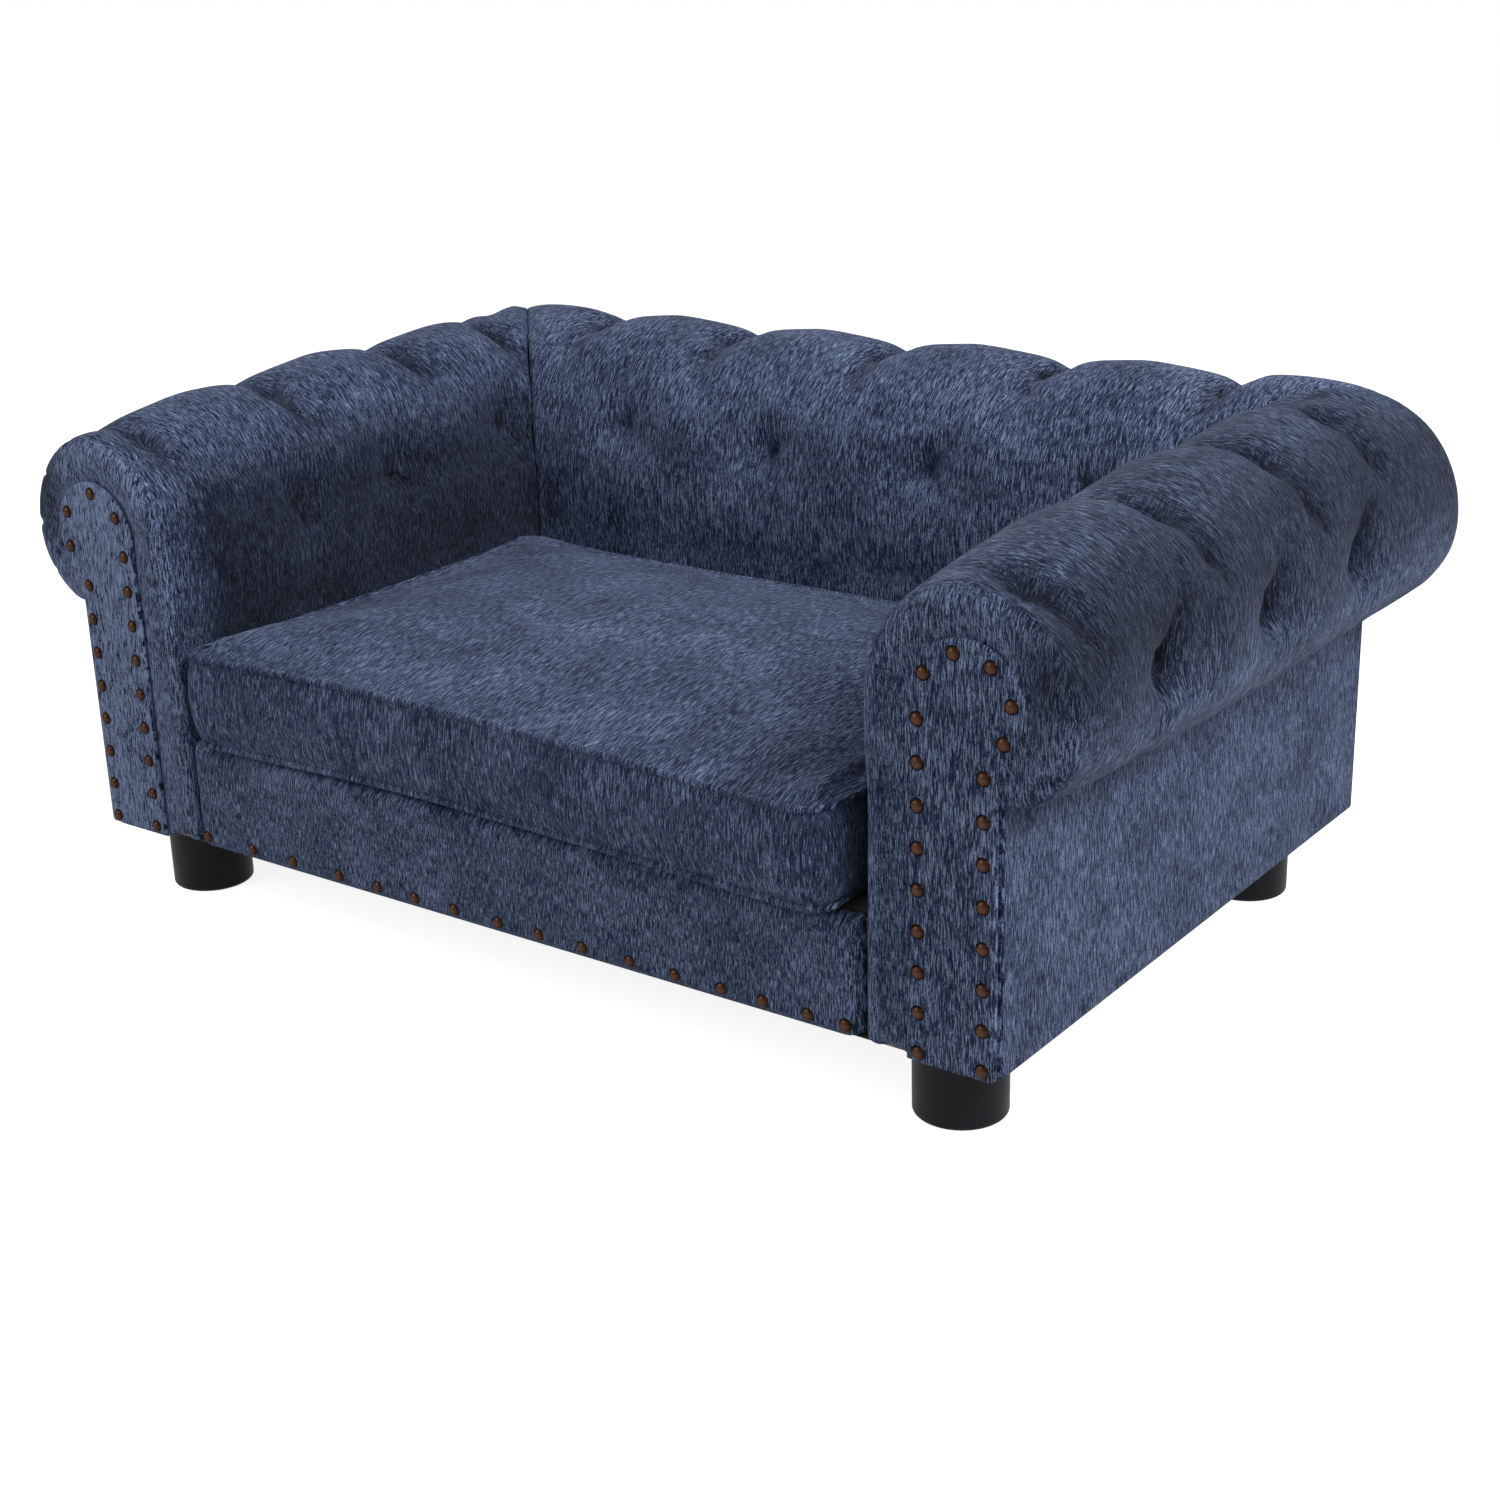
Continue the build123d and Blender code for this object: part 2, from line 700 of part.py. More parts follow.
right_arch_angles = (150, 103, 56, 10, -34)
left_arch_angles = (149, 93, 27, -23)
rail_nail_shares = (
    -0.963, -0.801, -0.657, -0.499, -0.370, -0.249, -0.124, 0.012,
    0.135, 0.263, 0.398, 0.523, 0.649, 0.757, 0.873, 0.966,
)
right_arm_nails = nail_group(facing_nails(right_arch_angles, 1), front_y)
left_arm_nails = nail_group(facing_nails(left_arch_angles, -1), front_y)
rail_nail_z = foot_height + rail_nail_inset
rail_nails = nail_group([(seat_half * share, rail_nail_z) for share in rail_nail_shares], border_y)

# One foot: a hollow moulding with a boss for its stud, at its front right place
foot_top = foot_height - gap
with BuildPart() as foot:
    with BuildSketch(Plane.XY):
        Circle(foot_diameter / 2)
    extrude(amount=foot_top)
    fillet(foot.edges().sort_by(Axis.Z)[0], foot_edge_round)
    with BuildSketch(Plane.XY.offset(foot_floor)):
        Circle(foot_diameter / 2 - foot_wall)
        Circle(foot_boss_radius, mode=Mode.SUBTRACT)
    extrude(amount=foot_top, mode=Mode.SUBTRACT)
    with BuildSketch(Plane.XY.offset(foot_floor)):
        for angle in range(0, 360, 90):
            out = (foot_boss_radius + foot_diameter / 2 - foot_wall / 2) / 2
            with PolarLocations(out, 1, start_angle=angle):
                Rectangle(foot_diameter / 2 - foot_boss_radius, foot_rib)
    extrude(amount=foot_top - foot_floor - foot_rib_drop)
    stud_bottom = bottom_z + boss_length + stud_tail - stud_length
    with BuildSketch(Plane.XY.offset(stud_bottom)):
        Circle(stud_radius + running)
    extrude(amount=foot_top, mode=Mode.SUBTRACT)

with BuildPart() as stud:
    with BuildSketch(Plane.XY.offset(stud_bottom)):
        Circle(stud_radius)
    extrude(amount=stud_length)
    chamfer(stud.edges().sort_by(Axis.Z)[-1], stud_radius / 5)


def cushion_plan(offset_in):
    """The cushion's outline in plan: sides drawn in between rounded corners."""
    half_width = cushion_width / 2 - offset_in
    half_depth = cushion_depth / 2 - offset_in
    corner = max(cushion_corner - offset_in, cushion_corner / 2)
    low = cushion_middle_y - half_depth
    high = cushion_middle_y + half_depth
    turn = corner * (1 - sin(radians(45)))
    side = half_width - corner
    front = low + corner
    rear = high - corner
    ThreePointArc((-side, low), (0, low + cushion_draw), (side, low))
    ThreePointArc((side, low), (half_width - turn, low + turn), (half_width, front))
    ThreePointArc((half_width, front), (half_width - cushion_draw, cushion_middle_y), (half_width, rear))
    ThreePointArc((half_width, rear), (half_width - turn, high - turn), (side, high))
    ThreePointArc((side, high), (0, high - cushion_draw), (-side, high))
    ThreePointArc((-side, high), (turn - half_width, high - turn), (-half_width, rear))
    ThreePointArc((-half_width, rear), (cushion_draw - half_width, cushion_middle_y), (-half_width, front))
    ThreePointArc((-half_width, front), (turn - half_width, low + turn), (-side, low))


cushion_bottom = deck_pad_top + gap
cushion_top = cushion_bottom + cushion_edge
cushion_middle_y = cushion_front_y + cushion_depth / 2
zip_y = cushion_front_y + cushion_depth - zip_flat
zip_z = (cushion_bottom + cushion_top) / 2
crown_rise_shares = (0, 0.5, 0.85, 1)
crown_inset_shares = (0, 0.07, 0.2, 0.4)


def cushion_form(inset):
    """The crowned cushion, everywhere smaller by inset, with ledges for its welts."""
    bottom = cushion_bottom + inset
    low = bottom + 2 * welt_radius
    top = cushion_top - inset
    edge = inset + cushion_bulge
    with BuildPart() as form:
        with BuildSketch(Plane.XY.offset(bottom)):
            with BuildLine():
                cushion_plan(edge + welt_radius)
            make_face()
        extrude(amount=2 * welt_radius)
        for z, drawn in ((low, edge), ((low + top) / 2, inset), (top, edge)):
            with BuildSketch(Plane.XY.offset(z)):
                with BuildLine():
                    cushion_plan(drawn)
                make_face()
        loft()
        for rise_share, inset_share in zip(crown_rise_shares, crown_inset_shares):
            with BuildSketch(Plane.XY.offset(top + cushion_crown * rise_share)):
                with BuildLine():
                    cushion_plan(edge + welt_radius + cushion_depth * inset_share)
                make_face()
        loft()
        flat_half = zip_length / 2 + zip_margin + inset
        flat_rise = zip_height / 2 + zip_margin + inset
        low = (-flat_half, zip_y - inset, zip_z - flat_rise)
        high = (flat_half, zip_y + zip_flat + overrun, zip_z + flat_rise)
        add(block(low, high), mode=Mode.SUBTRACT)
    return form.part


with BuildPart() as cushion_cover:
    add(cushion_form(0))
    add(cushion_form(cover_cloth), mode=Mode.SUBTRACT)

cushion_foam = cushion_form(cover_cloth + gap)


def welt(z):
    """A cloth-covered cord sewn round the cushion on the ledge at height z."""
    with BuildPart() as ring:
        with BuildSketch(Plane.XY.offset(z)):
            with BuildLine():
                cushion_plan(cushion_bulge - welt_radius)
            make_face()
            with BuildLine():
                cushion_plan(cushion_bulge + welt_radius)
            make_face(mode=Mode.SUBTRACT)
        extrude(amount=2 * welt_radius)
        rims = [e for face in ring.faces().filter_by(Axis.Z) for e in face.outer_wire().edges()]
        fillet(rims, welt_radius * 0.8)
    return ring.part


top_welt = welt(cushion_top)
bottom_welt = welt(cushion_bottom)

# Zip on the cushion's rear flat: a tape with its chain of teeth, a slider and its pull
tape_y = zip_y + zip_tape
with BuildPart() as zip_chain:
    half = zip_length / 2
    add(block((-half, zip_y, zip_z - zip_height / 2), (half, tape_y, zip_z + zip_height / 2)))
    chain_half = teeth_height / 2
    add(block((-half, zip_y, zip_z - chain_half), (half, tape_y + teeth_thickness, zip_z + chain_half)))

slider_x = zip_length / 2 - slider_length
chain_y = tape_y + teeth_thickness + running
plate_y = chain_y + slider_plate
pin_y = plate_y + bail_rise
post_gap = pull_neck + 4 * running
with BuildPart() as zip_slider:
    low = (slider_x - slider_length / 2, tape_y + running, zip_z - slider_height / 2)
    add(block(low, (slider_x + slider_length / 2, plate_y, zip_z + slider_height / 2)))
    channel = teeth_height / 2 + running
    low = (slider_x - slider_length, zip_y, zip_z - channel)
    add(block(low, (slider_x + slider_length, chain_y, zip_z + channel)), mode=Mode.SUBTRACT)
    for side in (-1, 1):
        low = (slider_x - bail_radius, plate_y, zip_z + side * post_gap / 2)
        high = (slider_x + bail_radius, pin_y + bail_radius, zip_z + side * (post_gap / 2 + bail_post))
        add(block(low, high))
    with BuildSketch(Plane(origin=(slider_x, pin_y, zip_z - post_gap / 2), z_dir=(0, 0, 1))):
        Circle(bail_radius)
    extrude(amount=post_gap)

eye_radius = bail_radius + running + pull_eye_wall
neck_length = eye_radius + bail_rise
with BuildPart() as zip_pull:
    with BuildSketch(Plane(origin=(slider_x, pin_y, zip_z - pull_neck / 2), z_dir=(0, 0, 1))):
        Circle(eye_radius)
    extrude(amount=pull_neck)
    low = (slider_x, pin_y - pull_thickness / 2, zip_z - pull_neck / 2)
    add(block(low, (slider_x + neck_length, pin_y + pull_thickness / 2, zip_z + pull_neck / 2)))
    low = (slider_x + neck_length, pin_y - pull_thickness / 2, zip_z - pull_width / 2)
    add(block(low, (slider_x + pull_length, pin_y + pull_thickness / 2, zip_z + pull_width / 2)))
    fillet(zip_pull.edges().filter_by(Axis.Y).sort_by(Axis.X)[-2:], pull_width / 4)
    with BuildSketch(Plane(origin=(slider_x, pin_y, zip_z - pull_neck / 2), z_dir=(0, 0, 1))):
        Circle(bail_radius + running)
    extrude(amount=pull_neck, mode=Mode.SUBTRACT)

# Every piece by name: those on the right of the middle have a twin on the left
right_pieces = {
    "arm_pad": right_arm_pad.part,
    "scroll_board": right_scroll_board.part,
    "rear_board": right_rear_board.part,
    "inner_board": right_inner_board.part,
    "top_rail": right_top_rail.part,
    "bottom_board": right_bottom_board.part,
    "side_panel": right_side_panel.part,
    "facing": right_facing.part,
    "side_rail": right_side_rail.part,
    "back_post": right_back_post.part,
    "arm_buttons": right_arm_buttons,
}
single_pieces = {
    "back_pad": back_pad.part,
    "back_buttons": back_buttons,
    "back_panel": back_panel.part,
    "back_inner_board": back_inner_board.part,
    "back_top_rail": back_top_rail.part,
    "back_bottom_rail": back_bottom_rail.part,
    "front_rail": front_rail.part,
    "rear_rail": rear_rail.part,
    "cross_slats": cross_slats.part,
    "corner_blocks": corner_blocks.part,
    "deck_board": deck_board.part,
    "deck_pad": deck_pad.part,
    "front_border": front_border.part,
    "dust_cover": dust_cover.part,
    "foot_plates": foot_plates.part,
    "plate_screws": plate_screws.part,
    "joining_bolts": joining_bolts.part,
    "joining_nuts": joining_nuts.part,
    "right_arm_nails": right_arm_nails,
    "left_arm_nails": left_arm_nails,
    "rail_nails": rail_nails,
    "cushion_cover": cushion_cover.part,
    "cushion_foam": cushion_foam,
    "cushion_top_welt": top_welt,
    "cushion_bottom_welt": bottom_welt,
    "zip_tape": zip_chain.part,
    "zip_slider": zip_slider.part,
    "zip_pull": zip_pull.part,
}
pieces = dict(single_pieces)
for name, piece in right_pieces.items():
    pieces["right_" + name] = piece
    pieces["left_" + name] = mirror(piece, about=Plane.YZ)
for side_name, hand in (("left", -1), ("right", 1)):
    for row_name, y in zip(("front", "rear"), foot_rows):
        pieces[f"{row_name}_{side_name}_foot"] = foot.part.moved(Location((hand * foot_x, y, 0)))
        pieces[f"{row_name}_{side_name}_stud"] = stud.part.moved(Location((hand * foot_x, y, 0)))

for name, piece in pieces.items():
    piece.label = name
    export_step(piece, f"parts/{name}.step")
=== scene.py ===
# %% [markdown]
# A tufted pet sofa, dressed for its picture. The wooden frame, nails, feet and fixings come
# ready-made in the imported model, the frame. This script adds what a furniture maker's upholsterer
# adds: the chenille cloth, the padding with its sewn tufts, the loose cushion with its welts.

# %% Load the frame
import json
from collections import namedtuple
from math import cos, radians, sin, tau

import bmesh
import bpy
import numpy as np
from mathutils import Matrix, Vector, noise
from mathutils.bvhtree import BVHTree


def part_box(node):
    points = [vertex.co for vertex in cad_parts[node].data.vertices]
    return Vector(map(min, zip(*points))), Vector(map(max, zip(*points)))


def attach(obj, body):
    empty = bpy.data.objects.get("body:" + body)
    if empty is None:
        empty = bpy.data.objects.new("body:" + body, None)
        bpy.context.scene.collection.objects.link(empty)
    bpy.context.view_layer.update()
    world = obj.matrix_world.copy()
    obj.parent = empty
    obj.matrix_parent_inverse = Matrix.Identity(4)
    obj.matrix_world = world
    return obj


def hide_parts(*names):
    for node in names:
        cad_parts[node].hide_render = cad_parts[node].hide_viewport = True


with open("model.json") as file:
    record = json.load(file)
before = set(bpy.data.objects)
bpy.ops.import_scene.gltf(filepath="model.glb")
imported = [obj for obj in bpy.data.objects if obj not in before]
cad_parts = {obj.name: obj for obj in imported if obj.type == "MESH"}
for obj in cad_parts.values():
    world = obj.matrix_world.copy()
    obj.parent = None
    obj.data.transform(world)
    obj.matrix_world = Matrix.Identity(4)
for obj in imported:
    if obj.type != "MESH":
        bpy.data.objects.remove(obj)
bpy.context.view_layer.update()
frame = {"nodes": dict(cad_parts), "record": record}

nodes = frame["nodes"]
scene = bpy.context.scene
MM = 0.001

# %% [markdown]
# The camera stands where the photographer stood: off the sofa's front corner, a good metre and
# a half away, looking down by twenty degrees and leaning by nearly two. A camera object looks
# along its own -Z, so its matrix is built from the right, up and backward directions.

# %% Camera
camera_place = Vector((1.12643, -1.49538, 0.79026))
camera_azimuth = radians(36.73)
camera_elevation = radians(20.02)
camera_roll = radians(-1.7476)
back = Vector((sin(camera_azimuth) * cos(camera_elevation),
               -cos(camera_azimuth) * cos(camera_elevation),
               sin(camera_elevation)))
right = Vector((0, 0, 1)).cross(back).normalized()
up = back.cross(right)
leaning_right = cos(camera_roll) * right + sin(camera_roll) * up
leaning_up = cos(camera_roll) * up - sin(camera_roll) * right
camera_data = bpy.data.cameras.new("camera")
camera_data.lens = 56.29
camera_data.sensor_width = 36.0
camera = bpy.data.objects.new("camera", camera_data)
turn = Matrix((leaning_right, leaning_up, back)).transposed()
camera.matrix_world = Matrix.Translation(camera_place) @ turn.to_4x4()
scene.collection.objects.link(camera)
scene.camera = camera
print("camera", tuple(round(v, 3) for v in camera_place))

# %% [markdown]
# Materials are written as arithmetic. A Socket wraps an output of a shader node, and adding or
# multiplying two of them adds a Math node, so a formula in Python becomes a chain of nodes.

# %% A small language for shader maths
class Socket:
    """An output of a shader node that can be used in sums."""

    def __init__(self, sheet, link):
        self.sheet = sheet
        self.link = link

    def _math(self, operation, *values):
        return self.sheet.node("ShaderNodeMath", {"operation": operation}, values)

    def __add__(self, other):
        return self._math("ADD", self, other)

    def __radd__(self, other):
        return self._math("ADD", other, self)

    def __sub__(self, other):
        return self._math("SUBTRACT", self, other)

    def __rsub__(self, other):
        return self._math("SUBTRACT", other, self)

    def __mul__(self, other):
        return self._math("MULTIPLY", self, other)

    def __pow__(self, other):
        return self._math("POWER", self, other)

    def __abs__(self):
        return self._math("ABSOLUTE", self)

    def sine(self):
        return self._math("SINE", self)

    def clamped(self):
        return self.sheet.node("ShaderNodeClamp", {}, (self,))

    def swing(self, amount):
        """A noise as a plus or a minus, this strong."""
        return (self - 0.5) * amount

    def rise(self, slope):
        """Climbs from 0 at zero to 1."""
        return (self * slope).clamped()

    def hump(self, middle, slope):
        """1 at the middle, falling to 0 on both sides of it."""
        return (1 - ((self - middle) * slope) ** 2).clamped()


class Sheet:
    """The node tree of a material or of the world, with the shader that it feeds."""

    def __init__(self, owner, shader="Principled BSDF"):
        owner.use_nodes = True
        self.owner = owner
        self.tree = owner.node_tree
        self.shader = self.tree.nodes[shader]

    def node(self, kind, settings, values, output=0):
        """Adds a node with its settings, then its socket values or links, by place or by name."""
        made = self.tree.nodes.new(kind)
        for key, value in settings.items():
            if key == "stops":
                stops = made.color_ramp.elements  # a new ramp has two
                for i, (place, colour) in enumerate(value):
                    stop = stops[i] if i < 2 else stops.new(place)
                    stop.position = place
                    stop.color = (*colour, 1)
            else:
                setattr(made, key, value)
        pairs = values.items() if isinstance(values, dict) else enumerate(values)
        for key, value in pairs:
            if isinstance(value, Socket):
                self.tree.links.new(value.link, made.inputs[key])
            else:
                made.inputs[key].default_value = value
        return Socket(self, made.outputs[output])

    def place(self):
        """The point on the piece, in metres."""
        return self.node("ShaderNodeTexCoord", {}, (), "Object")

    def place_mm(self):
        return self.scaled(self.place(), (1 / MM,) * 3)

    def attribute(self, name):
        """A number that is kept at the piece's points, or 0 where there is none."""
        return self.node("ShaderNodeAttribute", {"attribute_name": name}, (), "Fac")

    def scaled(self, vector, scale):
        return self.node("ShaderNodeVectorMath", {"operation": "MULTIPLY"}, (vector, scale))

    def parts(self, vector):
        """The X, Y and Z of a vector."""
        first = self.node("ShaderNodeSeparateXYZ", {}, (vector,))
        return [Socket(self, output) for output in first.link.node.outputs]

    def noise(self, vector, scale, detail=2, roughness=0.5):
        values = {"Vector": vector, "Scale": scale, "Detail": detail, "Roughness": roughness}
        return self.node("ShaderNodeTexNoise", {}, values)

    def mix(self, factor, first, second):
        """Mixes two colours."""
        settings = {"data_type": "RGBA"}
        return self.node("ShaderNodeMix", settings, {0: factor, 6: first, 7: second}, 2)

    def seen(self):
        """1 for rays that come from the camera, straight, mirrored or through glass, and 0 for the rest."""
        camera_ray, glossy, through = [self.node("ShaderNodeLightPath", {}, (), name) for name in
                                       ("Is Camera Ray", "Is Glossy Ray", "Is Transmission Ray")]
        return (camera_ray + glossy + through).clamped()

    def put(self, name, value):
        if isinstance(value, Socket):
            self.tree.links.new(value.link, self.shader.inputs[name])
        else:
            self.shader.inputs[name].default_value = value

    def bump(self, height, strength, distance):
        values = {"Height": height, "Strength": strength, "Distance": distance}
        self.put("Normal", self.node("ShaderNodeBump", {}, values))


def material_sheet(name):
    return Sheet(bpy.data.materials.new(name))


# %% [markdown]
# The cloth is chenille: fat, furry yarns that lie side by side, dark navy where the pile parts
# and grey-blue where it catches light. Each yarn shows as a thin streak, so the pattern is a
# noise that changes fast across the yarns and slowly along them. It is laid in the piece's own
# space, so the streaks climb the face and bend over the roll with no unwrapping. Where the cloth
# faces along the fast axis the streaks would swell to blotches, and the attribute "turned" lays
# the yarns along the other axis there. A second attribute at the points holds painted shade that
# darkens the tufts and creases. Each part's tone paints it lighter or darker, and on the arms
# painted shade and painted light are laid by place. Pile looks darkest where one looks into it,
# so a sheen brightens the surfaces seen at a low angle.

# %% Chenille
ACROSS_X, ACROSS_Y = 0, 1
YARN_ACROSS, YARN_ALONG = 1 / 0.75, 1 / 9  # the noise's cells to the mm, across a yarn and along it
YARN_WANDER = 1.2  # cells by which yarns stray sideways
PILE_STOPS = ((0.0, (0.004, 0.008, 0.018)), (0.30, (0.014, 0.022, 0.049)),
              (0.62, (0.047, 0.066, 0.128)), (1.0, (0.165, 0.210, 0.335)))
PILE_MIDDLE = 0.44  # the light of pile that neither parts nor stands up
PILE_IN_SHADE = (0.001, 0.0015, 0.003, 1)
SHEEN_TINT = (0.38, 0.45, 0.59, 1)
# How dark the painted shade in the tufts and creases makes the pile.
PAINTED_TUFT_SHADE = 0.7


def yarns(sheet, place, across):
    """The light of yarns that lie side by side along one axis, more or less than their middle tone."""
    stretch = [YARN_ALONG] * 3
    stretch[across] = YARN_ACROSS
    drift = [0, 0, 0]
    drift[across] = sheet.noise(place, 0.02) * YARN_WANDER
    drift = sheet.node("ShaderNodeCombineXYZ", {}, drift)
    laid = sheet.node("ShaderNodeVectorMath", {"operation": "ADD"}, (sheet.scaled(place, stretch), drift))
    streak = sheet.noise(laid, 1.0, 2, 0.55)
    ply = sheet.noise(sheet.scaled(laid, (1.6, 1.6, 2.8)), 1.0)
    return streak.swing(2.9) + ply.swing(1.5)


def arm_painted_light_and_shade(sheet, place, turned):
    """Painted light and shade on the arms, from places in mm: a gain that paints the front faces lighter, and
    the share left in full tone where painted shade darkens the outer bank, the inner face and the right
    crown.
    """
    x, y, z = sheet.parts(place)
    side = abs(x)
    # Painted shade: darker low on the outer bank of each roll, down the inner face and over the right arm's
    # crown.
    painted_shade_outer_bank = side.hump(482, 0.025) * z.hump(352, 0.016)
    painted_shade_inner_face = (366 - side).rise(0.04) * (390 - z).rise(0.016) * (y + 296).rise(0.03)
    painted_shade_right_crown = (z - 372).rise(0.03) * x.rise(0.01)
    # Painted light: the front faces lighter, the left arm's more so.
    painted_light_gain = 1 + turned * (x.rise(-0.01) * 0.25 + 0.2)
    return painted_light_gain, 1 - painted_shade_outer_bank * 0.77 - painted_shade_inner_face * 0.71 - painted_shade_right_crown * 0.36


def chenille(name, across, tone, on_arm=False):
    """Chenille with its yarns side by side along an axis; its tone paints the whole part lighter where it is
    over 1 and darker under it, and on the arms light and shade are painted by place.
    """
    sheet = material_sheet(name)
    place = sheet.place_mm()
    turned = sheet.attribute("turned")
    laid = yarns(sheet, place, across)
    laid = laid + (yarns(sheet, place, 1 - across) - laid) * turned
    # Painted shade darkens the tufts and creases.
    shade = 1 - sheet.attribute("painted_tuft_shade") * PAINTED_TUFT_SHADE
    # The tone paints the whole part lighter or darker.
    painted_light_lift = tone
    # On the arms painted light and painted shade are laid by place.
    if on_arm:
        painted_light_gain, painted_arm_shade = arm_painted_light_and_shade(sheet, place, turned)
        painted_light_lift, shade = painted_light_gain * tone, shade * painted_arm_shade
    pile = sheet.noise(place, 0.75, 2, 0.6)
    patch = sheet.noise(place, 0.016, 3, 0.55)
    light = (laid + pile.swing(0.9) + patch.swing(0.6) + PILE_MIDDLE).clamped()
    colour = sheet.node("ShaderNodeValToRGB", {"stops": PILE_STOPS}, (light * painted_light_lift,))
    sheet.put("Base Color", sheet.mix(shade, PILE_IN_SHADE, colour))
    sheet.put("Roughness", 0.92 - light * 0.12)
    sheet.put("Specular IOR Level", 0.1)
    sheet.put("Sheen Weight", 0.13)
    sheet.put("Sheen Roughness", 0.35)
    sheet.put("Sheen Tint", SHEEN_TINT)
    sheet.bump(light * 0.8 + pile * 0.5, 0.6, 0.0011)
    return sheet.owner


# The tones are painted light and shade: lit and shaded copies of one chenille, and the left facing's much
# lighter copy is painted light.
cloth_over_arm = chenille("chenille over the arm", ACROSS_Y, 1.04, on_arm=True)
cloth_up_side = chenille("chenille up the side", ACROSS_Y, 1.12)
cloth_over_back = chenille("chenille over the back", ACROSS_X, 1.07)
cloth_up_front = chenille("chenille up the front", ACROSS_X, 1.16)
cloth_on_seat = chenille("chenille on the seat", ACROSS_X, 0.98)
cloth_left_facing_painted_light = chenille("chenille painted lighter for the left facing", ACROSS_X, 1.95)
print("chenille made in six tones, two with yarns across Y and four across X")

# %% [markdown]
# The hard finishes are simpler. The nail heads are aged bronze, with painted shade that darkens
# them towards their rims. The feet are moulded black plastic with a fine grain. The hidden frame
# is sawn pine, with growth rings stretched along the board, and the fixings are zinc-plated steel.

# %% Hard finishes
NAIL_RISE = 3.4  # mm from the crown of a nail back to its rim


def bronze(crown_y):
    """Aged bronze for a row of domed nails whose crowns stand at y = crown_y, in mm, with painted shade
    darkening each dome from its crown to its rim.
    """
    sheet = material_sheet("aged bronze with painted rim shade")
    place = sheet.place_mm()
    y = sheet.parts(place)[1]
    age = sheet.noise(place, 0.35, 4, 0.6)
    # Painted shade: the colour darkens from each nail's crown down to its rim.
    height = (1 - (y - crown_y) * (1 / NAIL_RISE) + age.swing(0.5)).clamped() ** 1.8
    sheet.put("Base Color", sheet.mix(height, (0.004, 0.0018, 0.0012, 1), (0.066, 0.032, 0.021, 1)))
    sheet.put("Metallic", 0.7)
    sheet.put("Roughness", 0.14 + age * 0.1)
    sheet.put("Specular Tint", (0.25, 0.12, 0.08, 1))
    sheet.bump(age, 0.12, 0.0004)
    return sheet.owner


def plastic():
    sheet = material_sheet("satin black plastic")
    place = sheet.place_mm()
    grain = sheet.noise(place, 1.6, 3, 0.6)
    haze = sheet.noise(place, 0.03, 3, 0.5)
    sheet.put("Base Color", sheet.mix(haze.clamped(), (0.0025, 0.0025, 0.004, 1), (0.0055, 0.005, 0.008, 1)))
    sheet.put("Roughness", 0.4 + haze * 0.2)
    sheet.put("Specular IOR Level", 0.12)
    sheet.bump(grain, 0.12, 0.0003)
    return sheet.owner


def pine():
    sheet = material_sheet("sawn pine")
    place = sheet.scaled(sheet.place(), (9, 42, 42))
    rings = sheet.noise(place, 1.0, 4, 0.6)
    fibre = sheet.noise(sheet.scaled(place, (6, 14, 14)), 1.0, 2, 0.6)
    tone = (rings.swing(3) + fibre.swing(1.2) + 0.5).clamped()
    sheet.put("Base Color", sheet.mix(tone, (0.42, 0.26, 0.12, 1), (0.66, 0.48, 0.28, 1)))
    sheet.put("Roughness", 0.62 + tone * 0.15)
    sheet.bump(fibre, 0.25, 0.0006)
    return sheet.owner


def steel():
    sheet = material_sheet("zinc-plated steel")
    spangle = sheet.noise(sheet.place_mm(), 0.3, 3, 0.6)
    sheet.put("Base Color", sheet.mix(spangle, (0.42, 0.43, 0.45, 1), (0.66, 0.66, 0.68, 1)))
    sheet.put("Metallic", 0.9)
    sheet.put("Roughness", 0.28 + spangle * 0.2)
    sheet.bump(spangle, 0.1, 0.0003)
    return sheet.owner


def woven(name, dark, light, pitch_mm):
    """A plain woven cloth: fine threads both ways, a thread to every pitch."""
    sheet = material_sheet(name)
    phase = sheet.scaled(sheet.place(), (tau / (pitch_mm * MM),) * 3)
    x_wave, y_wave, z_wave = [part.sine() for part in sheet.parts(phase)]
    weave = (x_wave * y_wave + z_wave * 0.5) * 0.35 + 0.5
    fleck = sheet.noise(sheet.place_mm(), 0.4, 3, 0.6)
    sheet.put("Base Color", sheet.mix((weave * 0.6 + fleck * 0.5).clamped(), dark, light))
    sheet.put("Roughness", 0.8 + fleck * 0.15)
    sheet.bump(weave, 0.3, 0.0004)
    return sheet.owner


finishes = {
    "black_plastic": plastic(),
    "frame_wood": pine(),
    "zinc_steel": steel(),
    "black_lining": woven("black lining", (0.006, 0.006, 0.007, 1), (0.022, 0.022, 0.024, 1), 1.1),
    "zip_cloth": woven("zip tape", (0.008, 0.012, 0.028, 1), (0.022, 0.030, 0.060, 1), 0.9),
    "foam": woven("cushion foam", (0.55, 0.52, 0.40, 1), (0.78, 0.75, 0.62, 1), 1.4),
    "blue_chenille": cloth_over_back,
}
slots = {row["node"]: row["material_slot"] for row in frame["record"]["subparts"]}
for name, node in nodes.items():
    if slots[name] == "antique_bronze":
        finish = bronze(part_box(name)[0][1] / MM)
    else:
        finish = finishes[slots[name]]
    for holder in node.material_slots:
        holder.material = finish
print("finishes given to", len(nodes), "nodes of the frame")

# %% [markdown]
# Every padded piece starts from the solid that the frame has for it. Its mesh is copied, its
# loose triangles are joined, and a voxel remesh lays an even net of small quads over it, which
# is what a cloth simulation and the later carving both need.

